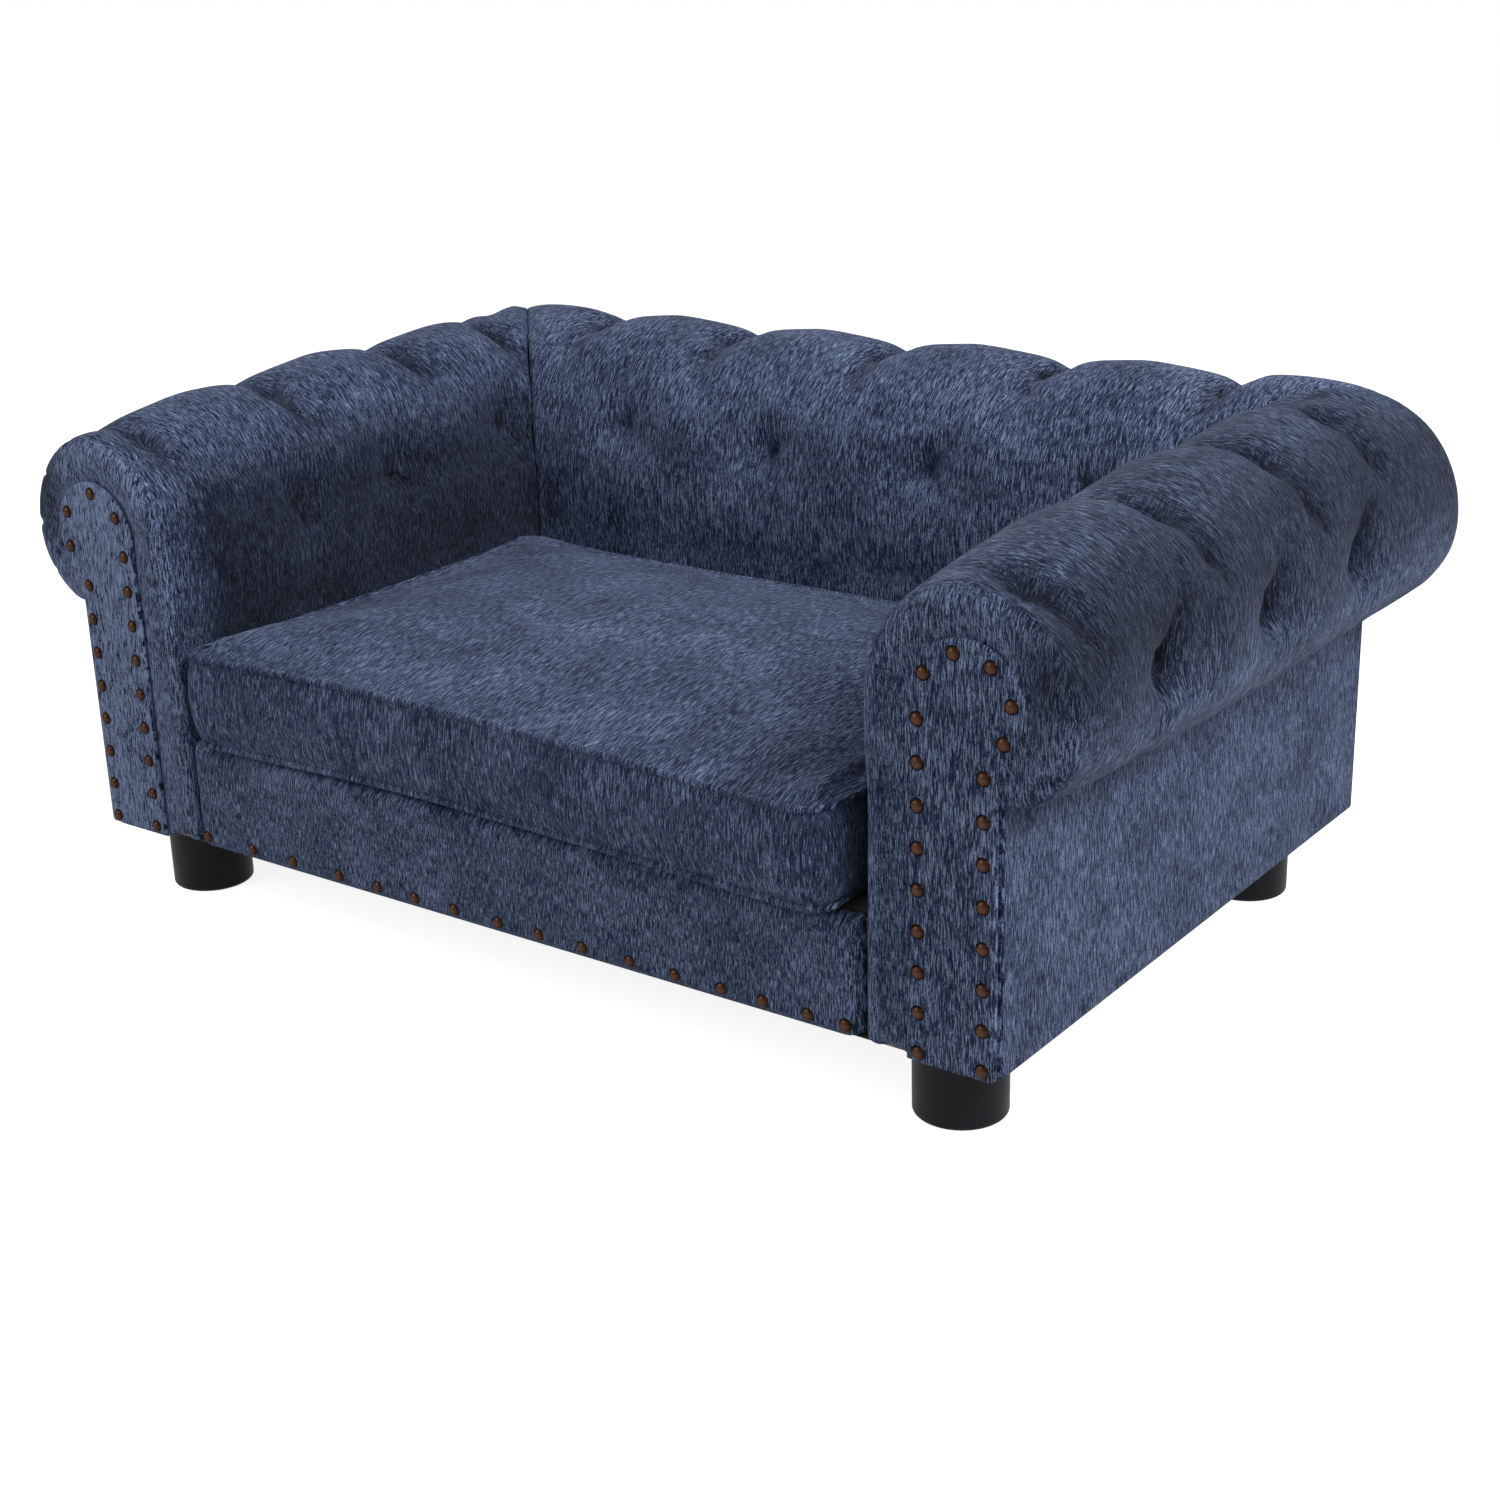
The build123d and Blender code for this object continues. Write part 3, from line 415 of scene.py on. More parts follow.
# %% Copy a solid as an even net of quads
def new_piece(name, shape):
    """A new object in the scene with the given bmesh as its shape."""
    mesh = bpy.data.meshes.new(name)
    shape.to_mesh(mesh)
    shape.free()
    piece = bpy.data.objects.new(name, mesh)
    scene.collection.objects.link(piece)
    return piece


def copy_of(name, *sources):
    """A new object with the joined meshes of the given nodes."""
    shape = bmesh.new()
    for source in sources:
        shape.from_mesh(nodes[source].data)
    bmesh.ops.remove_doubles(shape, verts=shape.verts, dist=0.01 * MM)
    return new_piece(name, shape)


def apply_modifiers(piece):
    """Keeps the shape that the modifiers make and drops the modifiers."""
    graph = bpy.context.evaluated_depsgraph_get()
    made = bpy.data.meshes.new_from_object(piece.evaluated_get(graph))
    piece.modifiers.clear()
    old = piece.data
    piece.data = made
    bpy.data.meshes.remove(old)


def read_points(piece, name):
    """One value with three parts for every point of the piece, as an array of rows."""
    flat = np.empty(len(piece.data.vertices) * 3)
    piece.data.vertices.foreach_get(name, flat)
    return flat.reshape(-1, 3)


def points(piece):
    """Where the piece's points are, in metres."""
    return read_points(piece, "co")


def normals(piece):
    return read_points(piece, "normal")


def set_points(piece, rows):
    piece.data.vertices.foreach_set("co", rows.ravel())
    piece.data.update()


def mark_points(piece, name, values):
    """Keeps a number at every point, for the cloth's shader to read."""
    piece.data.attributes.new(name, "FLOAT", "POINT").data.foreach_set("value", values)


def smooth(piece, rounds, chosen=None):
    """Smooths all points, or the chosen ones."""
    shape = bmesh.new()
    shape.from_mesh(piece.data)
    shape.verts.ensure_lookup_table()
    moving = list(shape.verts) if chosen is None else [shape.verts[int(i)] for i in np.nonzero(chosen)[0]]
    for _ in range(rounds):
        bmesh.ops.smooth_vert(shape, verts=moving, factor=0.5,
                              use_axis_x=True, use_axis_y=True, use_axis_z=True)
    shape.to_mesh(piece.data)
    shape.free()


def drop_bubbles(piece):
    """Keeps the largest connected part and drops closed bubbles left inside it."""
    shape = bmesh.new()
    shape.from_mesh(piece.data)
    left, largest = set(shape.verts), []
    while left:
        edge = {left.pop()}
        island = set(edge)
        while edge:
            edge = {link.other_vert(vert) for vert in edge for link in vert.link_edges} & left
            left -= edge
            island |= edge
        largest = max(largest, island, key=len)
    bubbles = [vert for vert in shape.verts if vert not in largest]
    bmesh.ops.delete(shape, geom=bubbles, context="VERTS")
    shape.to_mesh(piece.data)
    shape.free()
    if bubbles:
        print(piece.name, "had", len(bubbles), "points in bubbles")


def remesh(piece, voxel_mm, rounds=3):
    """Even quads of about voxel_mm, smoothed, then drawn back onto the solid's own faces."""
    corners = [v.co.copy() for v in piece.data.vertices]
    guide = BVHTree.FromPolygons(corners, [list(face.vertices) for face in piece.data.polygons])
    modifier = piece.modifiers.new("net", "REMESH")
    modifier.mode = "VOXEL"
    modifier.voxel_size = voxel_mm * MM
    apply_modifiers(piece)
    drop_bubbles(piece)
    smooth(piece, rounds)
    for point in piece.data.vertices:
        found = guide.find_nearest(point.co, 3 * voxel_mm * MM)[0]
        if found is not None:
            point.co = found
    smooth(piece, 1)


def fine_net(piece):
    """One level of subdivision, in the view and in the render."""
    modifier = piece.modifiers.new("fine net", "SUBSURF")
    modifier.levels = modifier.render_levels = 1


def swell(piece, amount_mm):
    """Moves every point outwards, to give back what the smoothing took."""
    set_points(piece, points(piece) + normals(piece) * amount_mm * MM)


# %% [markdown]
# The simulation blows each pad up a little, as filling does under cloth. The points near a tuft
# or a seam are pinned, so the cloth swells between them. A cap keeps every point close to the
# solid's own surface.

# %% Inflate a pad
FRAMES, PRESSURE = 10, 6.0


def inflate(piece, pinned, cap_mm):
    """Swells the piece under pressure, holding the points whose pinned weight is 1."""
    before = points(piece)
    group = piece.vertex_groups.new(name="pinned")
    for level in np.unique(np.round(pinned, 1)):
        if level > 0:
            chosen = np.nonzero(np.round(pinned, 1) == level)[0]
            group.add([int(i) for i in chosen], float(level), "REPLACE")
    cloth = piece.modifiers.new("cloth", "CLOTH")
    cloth.settings.quality = 3
    cloth.settings.mass = 0.3
    cloth.settings.use_pressure = True
    cloth.settings.uniform_pressure_force = PRESSURE
    cloth.settings.tension_stiffness = 12
    cloth.settings.compression_stiffness = 12
    cloth.settings.shear_stiffness = 6
    cloth.settings.bending_stiffness = 0.4
    cloth.settings.effector_weights.gravity = 0
    cloth.settings.vertex_group_mass = "pinned"
    cloth.collision_settings.use_collision = False
    cloth.point_cache.frame_start = 1
    cloth.point_cache.frame_end = FRAMES
    for number in range(1, FRAMES + 1):
        scene.frame_set(number)
    apply_modifiers(piece)
    scene.frame_set(1)
    move = points(piece) - before
    move[~np.isfinite(move)] = 0
    length = np.maximum(np.linalg.norm(move, axis=1), 1e-9)
    scale = cap_mm * MM * np.tanh(length / (cap_mm * MM)) / length
    set_points(piece, before + move * scale[:, None] * (1 - pinned)[:, None])
    print(piece.name, "swelled by up to", round(float((length * scale).max() / MM), 1), "mm")


# %% [markdown]
# Tufts are sewn through the pad, so the cloth dives at each one, and creases run between
# neighbouring tufts. Both are carved after the simulation: each point moves inwards along its
# normal by a depth that falls off with its distance from the tuft or from the crease line.

# %% Carve tufts and creases
# All in mm. A tuft has its place, the two axes along which its cloth lies, its depth and its reach.
# A crease has its start and end, its depth at either, and how far its sides reach.
Tuft = namedtuple("Tuft", "place axes deep reach")
Crease = namedtuple("Crease", "start end deep deep_end wide")
EDGE_POWER = 1.3  # how a dent's sides fall off
FADE_POWER = 1.6  # how a crease fades along its run
LOBES, LOBE_SIZE = 3, 0.15  # a tuft isn't quite round
DARKEST_AT = 11  # mm of depth at which the painted shade of a tuft or crease is darkest


def distance_to_run(rows, start, end):
    """Distance of each point from the straight run between two places, and the share along it."""
    along = end - start
    share = np.clip((rows - start) @ along / (along @ along), 0, 1)
    return np.linalg.norm(rows - start - share[:, None] * along, axis=1), share


def carve(piece, tufts, creases, kept):
    """Pulls the surface in at the tufts and creases, apart from the points that are kept, and keeps the depth
    at the points as painted shade.
    """
    rows = points(piece)
    inward = -normals(piece)
    depth = np.zeros(len(rows))
    for crease in creases:
        far, share = distance_to_run(rows, np.array(crease.start) * MM, np.array(crease.end) * MM)
        here = crease.deep_end + (crease.deep - crease.deep_end) * (1 - share) ** FADE_POWER
        depth = np.maximum(depth, here * MM * np.exp(-np.abs(far / (crease.wide * MM)) ** EDGE_POWER))
    for tuft in tufts:
        first, second = tuft.axes
        away = rows - np.array(tuft.place) * MM
        far = np.linalg.norm(away, axis=1)
        turned = np.arctan2(away[:, second], away[:, first])
        spread = 1 + LOBE_SIZE * np.cos(LOBES * turned + tuft.place[first])
        depth += tuft.deep * MM * np.exp(-(far / (tuft.reach * MM * spread)) ** EDGE_POWER)
    depth[kept] = 0
    set_points(piece, rows + inward * depth[:, None])
    # The depth is kept at the points as painted shade: the cloth's shader darkens the deeper tufts and
    # creases.
    mark_points(piece, "painted_tuft_shade", np.clip(depth / (DARKEST_AT * MM), 0, 1) ** 1.5)


def tuft_weight(rows, tufts):
    """1 at the tufts, fading around them."""
    weight = np.zeros(len(rows))
    for tuft in tufts:
        far = np.linalg.norm(rows - np.array(tuft.place) * MM, axis=1)
        weight = np.maximum(weight, np.exp(-(far / (tuft.reach * 1.5 * MM)) ** 2))
    return weight


def turn_yarns(piece, facing):
    """Marks where the cloth faces along its own yarn axis, so that its yarns are laid the other way there."""
    mark_points(piece, "turned", np.clip(facing * 2.5 - 1, 0, 1))


def finish_soft(piece, cloth, body, fill, *replaced):
    """Gives a padded piece its cloth and its body, shades it smooth and hides the solids that it replaces."""
    piece.data.materials.clear()
    piece.data.materials.append(cloth)
    for face in piece.data.polygons:
        face.use_smooth = True
    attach(piece, body)
    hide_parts(*replaced)
    print(piece.name, "with", len(piece.data.polygons), "faces")


# %% [markdown]
# The rolls have tufts in three rows: along the top, low on the outer side, and on the face
# towards the seat. The rows are staggered, as in all deep tufting, so that creases between them
# make diamonds. On the outer side each crease carries on down to the underside of the roll.

# %% Places of the tufts, in mm
ROLL_X, ROLL_Y, ROLL_Z = 412, 238.5, 315  # the middles of the rolls
SEAT_X, SEAT_BACK_Y = 330, 131.5  # the faces towards the seat
# On top: the place along the roll, the angle from straight outwards, the distance from its middle.
ARM_TOP = {"right": [(-286, 72, 88), (-120, 70, 93), (36, 67, 95), (158, 75, 97)],
           "left": [(-275, 108, 88), (-127, 103, 93), (30, 96, 97), (152, 99, 98)]}
ARM_SIDE_ROWS = [-192, -42, 103]
ARM_FACE = [(-160, 318, 4), (-42, 323, 8), (103, 340, 12)]
BACK_TOP_ROWS = [-318, -163, 0, 165, 326]
BACK_SIDE_ROWS = [-244.5, -81.5, 81.5, 244.5]
BACK_FACE = [(-230, 338), (-65, 332), (97, 334), (245, 334)]


def roll_point(angle, radius):
    """Outward offset and height of a point on a roll, its angle counted from straight outwards."""
    return radius * cos(radians(angle)), ROLL_Z + radius * sin(radians(angle))


def arm_place(y, angle, radius, hand):
    """A point on an arm's roll; hand is 1 on the right arm and -1 on the left."""
    out, z = roll_point(angle, radius)
    return (hand * (ROLL_X + out), y, z)


def back_place(x, angle, radius, hand=1):
    """A point on the back's roll, which is the same on either hand."""
    out, z = roll_point(angle, radius)
    return (x, ROLL_Y + out, z)


def tuft_on_top(at, along, angle, radius, hand, tufts, creases):
    """A pinched tuft on top of a roll: a dimple, a slit, and the valley that it draws across the roll."""
    middle = at(along, angle, radius, hand)
    tufts.append(Tuft(middle, (0, 1), 9, 14))
    over, under = at(along, angle - 30, radius + 3, hand), at(along, angle + 28, radius + 3, hand)
    creases += [Crease(middle, at(along + 24, angle - 12, radius + 3, hand), 9, 3, 5),
                Crease(middle, at(along - 22, angle - 6, radius + 3, hand), 9, 3, 5),
                Crease(middle, over, 14, 11, 12),
                Crease(middle, under, 14, 11, 12),
                Crease(over, at(along + 8, angle - 58, radius + 4, hand), 11, 1, 12),
                Crease(under, at(along + 4, angle + 52, radius + 4, hand), 11, 1, 12)]


def arm_tufting(side, hand):
    """The tufts and creases of one arm: on top, low on the outer side, and towards the seat."""
    tufts, creases = [], []
    for y, angle, radius in ARM_TOP[side]:
        tuft_on_top(arm_place, y, angle, radius, hand, tufts, creases)
    for y in ARM_SIDE_ROWS:
        outer = arm_place(y, 3, 80, hand)
        upper, lower = arm_place(y + 13, 22, 86, hand), arm_place(y - 8, -22, 82, hand)
        tufts.append(Tuft(outer, (1, 2), 12, 13))
        creases += [Crease(outer, upper, 10, 8, 5.5),
                    Crease(outer, lower, 12, 8, 5.5),
                    Crease(upper, arm_place(y + 44, 58, 100, hand), 8, 1, 6.5),
                    Crease(lower, arm_place(y - 14, -46, 82, hand), 8, 4, 8),
                    Crease(outer, arm_place(y - 34, 40, 94, hand), 5, 1, 8)]
    for y, z, deeper in ARM_FACE:
        inner = (hand * (SEAT_X + deeper), y, z)
        tufts.append(Tuft(inner, (1, 2), 9, 14))
        for end_y, end_z, end_deeper in ((26, 34, 10), (-24, 36, 10), (4, -60, -4)):
            end = (hand * (SEAT_X + deeper + end_deeper), y + end_y, z + end_z)
            creases.append(Crease(inner, end, 6, 0.5, 7))
    return tufts, creases


def back_tufting():
    """The tufts and creases of the back, in the same three rows."""
    tufts, creases = [], []
    for x in BACK_TOP_ROWS:
        tuft_on_top(back_place, x, 93, 97, 1, tufts, creases)
    for x in BACK_SIDE_ROWS:
        outer = back_place(x, 3, 80)
        upper, lower = back_place(x + 4, 24, 86), back_place(x - 2, -22, 82)
        tufts.append(Tuft(outer, (0, 2), 12, 13))
        creases += [Crease(outer, upper, 10, 7, 5.5),
                    Crease(outer, lower, 12, 8, 5.5),
                    Crease(upper, back_place(x + 40, 58, 100), 7, 1, 6.5),
                    Crease(upper, back_place(x - 40, 58, 100), 7, 1, 6.5),
                    Crease(lower, back_place(x - 4, -46, 82), 8, 4, 8)]
    for x, z in BACK_FACE:
        inner = (x, SEAT_BACK_Y + 11, z)
        tufts.append(Tuft(inner, (0, 2), 9, 10))
        creases.append(Crease(inner, (x - 20, SEAT_BACK_Y + 12, z - 24), 5, 0.5, 5))
    return tufts, creases


print("tufts:", len(ARM_TOP["right"]), "on top of each arm,", len(BACK_TOP_ROWS), "on top of the back")

# %% [markdown]
# Where the cloth of the roll turns over the front rim towards the flat facing, it has more
# length than it needs, and the maker folds the spare into short gathers round the facing.

# %% Gathers round the facing
HEAD_X = 413.5  # the middle of a facing's round head, in mm, at the height of the roll's middle
GATHERS = [(168, 2.6), (128, 3.2), (98, 2.2), (70, 2.4), (38, 2.0), (4, 2.6), (-28, 3.2)]  # angle, depth
GATHER_WIDE = 2.6
RIM_RADIUS, RIM_WIDE, RIM_PROUD = 62, 11, 3.2  # the soft rim that rolls over the front edge


def gathers(piece, hand):
    """Raises the rim of a roll round its facing, and folds the cloth there."""
    rows = points(piece)
    inward = -normals(piece)
    x = rows[:, 0] * hand / MM - HEAD_X
    z = rows[:, 2] / MM - ROLL_Z
    radius = np.hypot(x, z)
    angle = np.degrees(np.arctan2(z, x))
    front = np.clip((-rows[:, 1] / MM - 296) / 12, 0, 1)
    head = np.clip((z + 50) / 30, 0, 1)
    rows[:, 1] -= RIM_PROUD * MM * np.exp(-((radius - RIM_RADIUS) / RIM_WIDE) ** 2) * front * head
    near = np.clip((-rows[:, 1] / MM - 262) / 30, 0, 1) * np.clip((radius - 44) / 6, 0, 1)
    depth = np.zeros(len(rows))
    for place, deep in GATHERS:
        across = np.abs((angle - place + (radius - 60) * 0.25 + 180) % 360 - 180) * radius * tau / 360
        depth = np.maximum(depth, deep * np.exp(-(across / GATHER_WIDE) ** 2))
    set_points(piece, rows + inward * (depth * near * head * MM)[:, None])


print("gathers round each facing:", len(GATHERS))

# %% [markdown]
# An arm pad and the back pad meet on an upright seam that runs outwards from the inner corner.
# The arm's front end is cut back to a plane behind its facing, and the hidden lining of a pad,
# on its boards, is left flat: the tufts are carved only into the cloth that shows.

# %% The arm pads
PAD_VOXEL, PAD_CAP = 5, 7  # mm: the size of the net, and how far the filling may push the cloth out
ROLL_BOTTOM = 0.262  # in metres: above it a pad is round and is smoothed
ROLL_ROUNDS, TUFT_ROUNDS = 8, 15  # rounds of smoothing, over the roll and under the tufts
TIGHT_BELOW, TIGHT_FADE = 250, 20  # mm: under the roll the cloth is tight, and held there
TIGHT_FRONT, FRONT_FADE = 280, 16  # mm: so it is at the front end of an arm
SEAM_ANGLE = np.arctan2(204, 179)
TURN_X, TURN_Y = 326, 127.5  # where the seam starts, in mm
SEAM_HELD, SEAM_FADE = 1.3, 17  # the cloth is held on the seam, and free 22 mm from it
SEAM_REACH, SEAM_GAP = 5, 0.15  # mm: points so near are drawn onto it, to this far on their own side
FRONT_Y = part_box("right_facing")[0][1] / MM
FACING_THICK = 4.4
PAD_FRONT_Y = FRONT_Y + FACING_THICK + 0.3
FACING_X, FACING_HEAD = (366, 441), 47  # the neck's two sides and the head's radius, behind the facing
BOARD_X = 0.3465  # in metres: how far out the tight cloth of the inner face may lie


def past_seam(rows, hand):
    """How far each point lies behind the upright seam between an arm and the back, in mm."""
    return (-(rows[:, 0] * hand / MM - TURN_X) * sin(SEAM_ANGLE)
            + (rows[:, 1] / MM - TURN_Y) * cos(SEAM_ANGLE))


def meet_at_seam(rows, hand, side):
    """Draws the points beside the seam onto its upright plane; side is 1 behind it and -1 before it."""
    across = past_seam(rows, hand)
    outside = rows[:, 0] * hand / MM > TURN_X - 2
    near = (np.abs(across) < SEAM_REACH) & outside & (rows[:, 1] / MM > TURN_Y - 2)
    shift = np.where(near, SEAM_GAP * side - across, 0) * MM
    rows[:, 0] += -shift * sin(SEAM_ANGLE) * hand
    rows[:, 1] += shift * cos(SEAM_ANGLE)


def held_weight(rows, tufts, *hands):
    """The pinned weight of a pad: 1 at its tufts, along its seams and in the tight cloth under the roll."""
    tight = np.clip((TIGHT_BELOW - rows[:, 2] / MM) / TIGHT_FADE, 0, 1)
    weight = np.maximum(tuft_weight(rows, tufts), tight)
    for hand in hands:
        seam = np.clip(SEAM_HELD - np.abs(past_seam(rows, hand)) / SEAM_FADE, 0, 1)
        weight = np.maximum(weight, seam)
    return weight


def cut_front(rows, hand):
    """Cuts a pad's front end back to the plane behind its facing, and lowers its bottom edge a little."""
    x, z = rows[:, 0] * hand / MM, rows[:, 2] / MM
    neck, head = z < ROLL_Z, np.hypot(x - HEAD_X, z - ROLL_Z) < FACING_HEAD
    behind = (x > FACING_X[0]) & (x < FACING_X[1]) & (neck | head) & (rows[:, 1] / MM < PAD_FRONT_Y)
    rows[behind, 1] = PAD_FRONT_Y * MM
    low_front = np.clip((-rows[:, 1] - 0.296) / 0.01, 0, 1)
    rows[:, 2] -= np.clip((0.078 - rows[:, 2]) / 0.014, 0, 1) * (1.5 + 2.5 * low_front) * MM


def arm_pad(side, hand):
    piece = copy_of(f"{side}_arm_padding", f"{side}_arm_pad", f"{side}_facing", f"{side}_arm_buttons")
    remesh(piece, PAD_VOXEL)
    rows = points(piece)
    smooth(piece, ROLL_ROUNDS, (rows[:, 2] > ROLL_BOTTOM) & (rows[:, 1] > -0.298))
    rows = points(piece)
    cut_front(rows, hand)
    meet_at_seam(rows, hand, -1)
    set_points(piece, rows)
    tufts, creases = arm_tufting(side, hand)
    smooth(piece, TUFT_ROUNDS, tuft_weight(rows, tufts) > 0.5)
    rows = points(piece)
    front = np.clip((-rows[:, 1] / MM - TIGHT_FRONT) / FRONT_FADE, 0, 1)
    inflate(piece, np.maximum(held_weight(rows, tufts, hand), front), PAD_CAP)
    fine_net(piece)
    apply_modifiers(piece)
    rows = points(piece)
    lining = (normals(piece)[:, 0] * hand > 0.2) & (rows[:, 0] * hand < 0.372) & (rows[:, 2] < 0.38)
    carve(piece, tufts, creases, lining)
    gathers(piece, hand)
    smooth(piece, 1)
    rows = points(piece)
    board = ~lining & (rows[:, 2] < 0.35) & (rows[:, 0] * hand < 0.362) & (rows[:, 1] < 0.12)
    rows[board, 0] = hand * np.minimum(rows[board, 0] * hand, BOARD_X)
    set_points(piece, rows)
    turn_yarns(piece, -normals(piece)[:, 1])
    finish_soft(piece, cloth_over_arm, "sofa", 0.8, f"{side}_arm_pad", f"{side}_arm_buttons")


arm_pad("right", 1)
arm_pad("left", -1)


# %% The back pad
def back_padding():
    piece = copy_of("back_padding", "back_pad", "back_buttons")
    remesh(piece, PAD_VOXEL)
    smooth(piece, ROLL_ROUNDS, points(piece)[:, 2] > ROLL_BOTTOM)
    rows = points(piece)
    meet_at_seam(rows, 1, 1)
    meet_at_seam(rows, -1, 1)
    set_points(piece, rows)
    tufts, creases = back_tufting()
    smooth(piece, TUFT_ROUNDS, tuft_weight(points(piece), tufts) > 0.5)
    inflate(piece, held_weight(points(piece), tufts, 1, -1), PAD_CAP)
    fine_net(piece)
    apply_modifiers(piece)
    lining = (normals(piece)[:, 1] > 0.2) & (points(piece)[:, 1] / MM < SEAT_BACK_Y + 40)
    carve(piece, tufts, creases, lining)
    smooth(piece, 1)
    swell(piece, 0.4)
    finish_soft(piece, cloth_over_back, "sofa", 0.8, "back_pad", "back_buttons")


back_padding()

# %% [markdown]
# The facings, the front border and the outer panels are cloth drawn tight over thin wadding.
# Their solids are remeshed finely and smoothed, which rounds their edges as the wadding does.

# %% Tight padded panels
FACING_THIN = FACING_THICK / 8.8  # the visible wadding as a share of the facing's solid


def panel(name, node, cloth, voxel_mm=3.0, proud_mm=0.8, thin=1.0, wide=1.0):
    """A tight panel: its depth behind the front may be thinned, and it may be made wider."""
    piece = copy_of(name, node)
    remesh(piece, voxel_mm, 2)
    swell(piece, proud_mm)
    rows = points(piece)
    front = rows[:, 1].min()
    rows[:, 1] = front + (rows[:, 1] - front) * thin
    rows[:, 0] *= wide
    set_points(piece, rows)
    finish_soft(piece, cloth, "sofa", 0.9, node)


panel("right_facing_cloth", "right_facing", cloth_up_front, 2.5, 0.4, thin=FACING_THIN)
panel("left_facing_cloth", "left_facing", cloth_left_facing_painted_light, 2.5, 0.4, thin=FACING_THIN)
panel("front_border_padding", "front_border", cloth_up_front, 3.5, wide=1.003)
panel("right_side_cloth", "right_side_panel", cloth_up_side)
panel("left_side_cloth", "left_side_panel", cloth_up_side)
panel("back_cloth", "back_panel", cloth_over_back)
panel("deck_padding", "deck_pad", finishes["black_lining"], 4, 0)

# %% [markdown]
# The seat cushion is a box cushion: a crowned top and bottom, a boxing strip round the sides,
# and a cord-filled welt sewn into both seams. The foam's solid is its starting shape, swollen
# by the simulation with its two seams pinned.

# %% Cushion
cushion_low, cushion_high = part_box("cushion_cover")
CUSHION_HALF = (cushion_high[0] - cushion_low[0]) / 2 / MM
CUSHION_FRONT, CUSHION_REAR = cushion_low[1] / MM, cushion_high[1] / MM
TOP_SEAM, LOW_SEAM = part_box("cushion_top_welt")[0][2] / MM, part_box("cushion_bottom_welt")[1][2] / MM
CUSHION_BOTTOM = 153  # mm: what lies lower rests on the deck and can't swell
CUSHION_CAP = 9
PLUMP = 6  # mm by which the top stands up along its sides and rear


def settle(rows):
    """The loose cushion's front edge, pushed forward and sagging a little towards the right."""
    x, y, z = rows[:, 0] / MM, rows[:, 1] / MM, rows[:, 2] / MM
    front = np.clip((60 - y) / 390, 0, 1) ** 2
    forward = 9 / (1 + np.exp(-(x - 120) / 55)) - 5 * np.exp(-((x + 90) / 120) ** 2)
    sag = 5 * np.exp(-((x - 250) / 120) ** 2) * front * np.clip((z - 160) / 70, 0, 1)
    moved = rows.copy()
    moved[:, 1] -= forward * front * MM
    moved[:, 2] -= sag * MM
    return moved


def cushion_padding():
    piece = copy_of("cushion_padding", "cushion_foam")
    remesh(piece, PAD_VOXEL)
    x, y, z = (points(piece) / MM).T
    seam = np.minimum(np.abs(z - TOP_SEAM), np.abs(z - LOW_SEAM))
    edge = np.minimum(CUSHION_HALF - np.abs(x), np.minimum(y - CUSHION_FRONT, CUSHION_REAR - y))
    rim = np.clip(1 - edge / 18, 0, 1)
    pinned = np.where((seam < 8) & (rim > 0.2), 1.0, 0.0)
    pinned[z < CUSHION_BOTTOM] = 1
    inflate(piece, pinned, CUSHION_CAP)
    rows = points(piece)
    x, y, z = (rows / MM).T
    side = np.minimum(CUSHION_HALF - np.abs(x), CUSHION_REAR - y)
    rows[:, 2] += PLUMP * MM * (np.exp(-((side - 20) / 16) ** 2) * (z > TOP_SEAM + 2))
    set_points(piece, settle(rows))
    turn_yarns(piece, np.abs(normals(piece)[:, 0]))
    fine_net(piece)
    finish_soft(piece, cloth_on_seat, "cushion", 0.7, "cushion_cover", "cushion_foam")
    return piece


cushion = cushion_padding()

# %% [markdown]
# A welt is a thin cord wrapped in a strip of the same cloth. The line of its seam is drawn onto
# the cushion, a little proud of it, and the welt is one tube round it: a small circle swept
# along the line, made by bridging a ring of points at every step.

# %% Welts
WELT_RADIUS, WELT_SIDES, WELT_PROUD = 3.0, 10, 1.2
SEAM_INSET, SEAM_CORNER, SEAM_BOW = 5, 24, 5  # mm: from the cushion's box, at its corners, drawn in midway
CORNER_STEPS = 8


def seam_line(z):
    """Points along one seam of the cushion, in mm."""
    wide = CUSHION_HALF - SEAM_INSET
    front, rear = CUSHION_FRONT + SEAM_INSET, CUSHION_REAR - SEAM_INSET
    east, west = wide - SEAM_CORNER, -wide + SEAM_CORNER
    south, north = front + SEAM_CORNER, rear - SEAM_CORNER
    line = []
    for start, end, out, steps, middle, first in (
            ((west, front), (east, front), (0, -1), 60, (east, south), -90),
            ((wide, south), (wide, north), (1, 0), 40, (east, north), 0),
            ((east, rear), (west, rear), (0, 1), 60, (west, north), 90),
            ((-wide, north), (-wide, south), (-1, 0), 40, (west, south), 180)):
        for i in range(steps):
            share = i / steps
            bow = -SEAM_BOW * (1 - (2 * share - 1) ** 2)
            line.append((start[0] + (end[0] - start[0]) * share + out[0] * bow,
                         start[1] + (end[1] - start[1]) * share + out[1] * bow, z))
        for i in range(CORNER_STEPS):
            angle = radians(first + 90 * i / CORNER_STEPS)
            line.append((middle[0] + SEAM_CORNER * cos(angle), middle[1] + SEAM_CORNER * sin(angle), z))
    return line


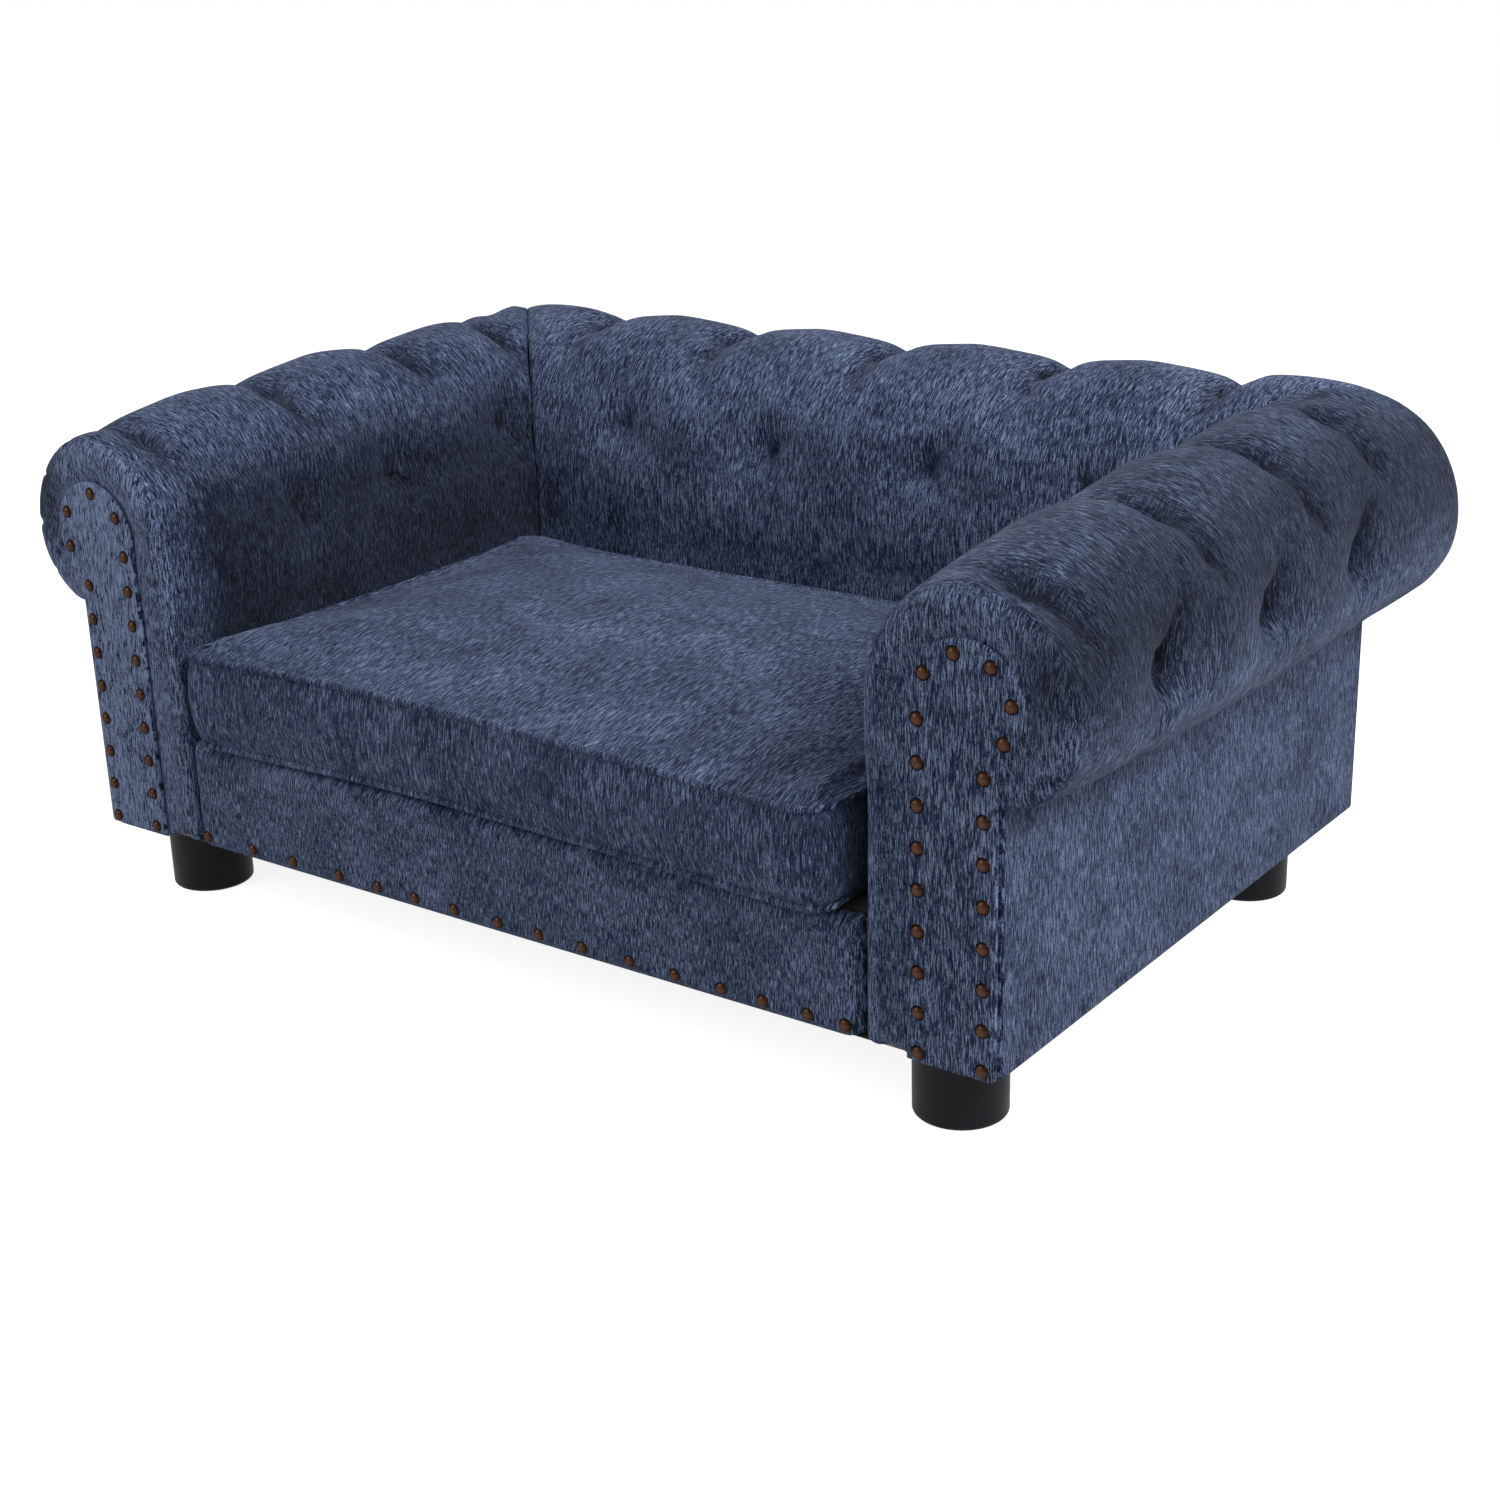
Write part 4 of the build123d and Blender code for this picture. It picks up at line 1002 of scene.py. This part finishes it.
def lie_on(piece, rows, proud_mm):
    """Draws a closed run of points onto a piece, a little proud of it, and evens the run."""
    faces = [list(face.vertices) for face in piece.data.polygons]
    guide = BVHTree.FromPolygons([point.co for point in piece.data.vertices], faces)
    laid = []
    for row in rows:
        place, normal = guide.find_nearest(Vector(row))[:2]
        laid.append(place + normal * proud_mm * MM)
    laid = np.array(laid)
    for _ in range(3):
        laid = (np.roll(laid, 1, 0) + laid * 2 + np.roll(laid, -1, 0)) / 4
    return laid


def welt(name, z, node, dip_mm):
    """A welt at the height z, dipping along the cushion's sides and rear."""
    rows = settle(np.array(seam_line(z)) * MM)
    inboard = np.clip((rows[:, 1] / MM - CUSHION_FRONT - 30) / 50, 0, 1)
    rows[:, 2] -= inboard * (dip_mm * MM)
    rows = lie_on(cushion, rows, WELT_PROUD)
    shape = bmesh.new()
    rings = []
    for i, row in enumerate(rows):
        ahead = Vector(rows[(i + 1) % len(rows)]) - Vector(rows[i - 1])
        turn = ahead.to_track_quat("Z", "Y").to_matrix().to_4x4()
        size = WELT_RADIUS * (1 + 0.06 * noise.noise(Vector(row) * 60))
        made = bmesh.ops.create_circle(shape, segments=WELT_SIDES, radius=size * MM,
                                       matrix=Matrix.Translation(Vector(row)) @ turn)
        rings.append(list(dict.fromkeys(edge for vert in made["verts"] for edge in vert.link_edges)))
    for i, ring in enumerate(rings):
        bmesh.ops.bridge_loops(shape, edges=ring + rings[(i + 1) % len(rings)])
    bmesh.ops.recalc_face_normals(shape, faces=shape.faces)
    piece = new_piece(name, shape)
    fine_net(piece)
    finish_soft(piece, cloth_on_seat, "cushion", 0.9, node)


welt("upper_welt", TOP_SEAM + 3, "cushion_top_welt", dip_mm=8)
welt("lower_welt", LOW_SEAM - 3, "cushion_bottom_welt", dip_mm=0)

# %% [markdown]
# A thin black cloth is stretched under the whole frame and stapled round its edge, open where
# the feet go through. It is cut to the frame's own size, so the solid's outline is its pattern,
# and the copy only needs the black lining and its body.

# %% Dust cloth
def dust_sheet():
    piece = copy_of("dust_sheet", "dust_cover")
    piece.data.materials.clear()
    piece.data.materials.append(finishes["black_lining"])
    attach(piece, "sofa")
    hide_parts("dust_cover")


dust_sheet()

# %% [markdown]
# A white studio: one broad lamp above and to the right, a weaker one in front, one behind, and a
# white floor that keeps a faint shadow. The floor and the world glow for the rays that the camera
# sees, so the background is plain white. As a light on the sofa the world is dimmer.

# %% Floor, world and lamps
FLOOR_GLOW = 0.86
WORLD_LIGHT = 0.42

floor_shape = bmesh.new()
bmesh.ops.create_grid(floor_shape, x_segments=1, y_segments=1, size=6)
floor = new_piece("floor", floor_shape)
paint = material_sheet("white floor")
paint.put("Base Color", (0.5, 0.5, 0.5, 1))
paint.put("Roughness", 0.9)
paint.put("Specular IOR Level", 0.0)
paint.put("Emission Color", paint.mix(paint.seen(), (0, 0, 0, 1), (1, 1, 1, 1)))
paint.put("Emission Strength", FLOOR_GLOW)
floor.data.materials.append(paint.owner)

scene.world = bpy.data.worlds.new("studio")
sky = Sheet(scene.world, "Background")
sky.put("Color", (1, 1, 1, 1))
sky.put("Strength", WORLD_LIGHT + sky.seen() * (1 - WORLD_LIGHT))


def lamp(name, place, aim, power, size):
    data = bpy.data.lights.new(name, "AREA")
    data.energy = power
    data.size = size
    made = bpy.data.objects.new(name, data)
    made.location = place
    made.rotation_euler = (Vector(aim) - Vector(place)).to_track_quat("-Z", "Y").to_euler()
    scene.collection.objects.link(made)


lamp("key", (2.3, -0.2, 2.1), (0.0, 0.0, 0.2), 82, 1.1)
lamp("fill", (-1.2, -2.3, 1.7), (0.0, 0.0, 0.2), 32, 1.8)
lamp("top", (-0.2, 0.7, 2.6), (0.0, 0.1, 0.3), 14, 1.2)
scene.view_settings.view_transform = "Standard"
print("lit by three lamps: key, fill and top")
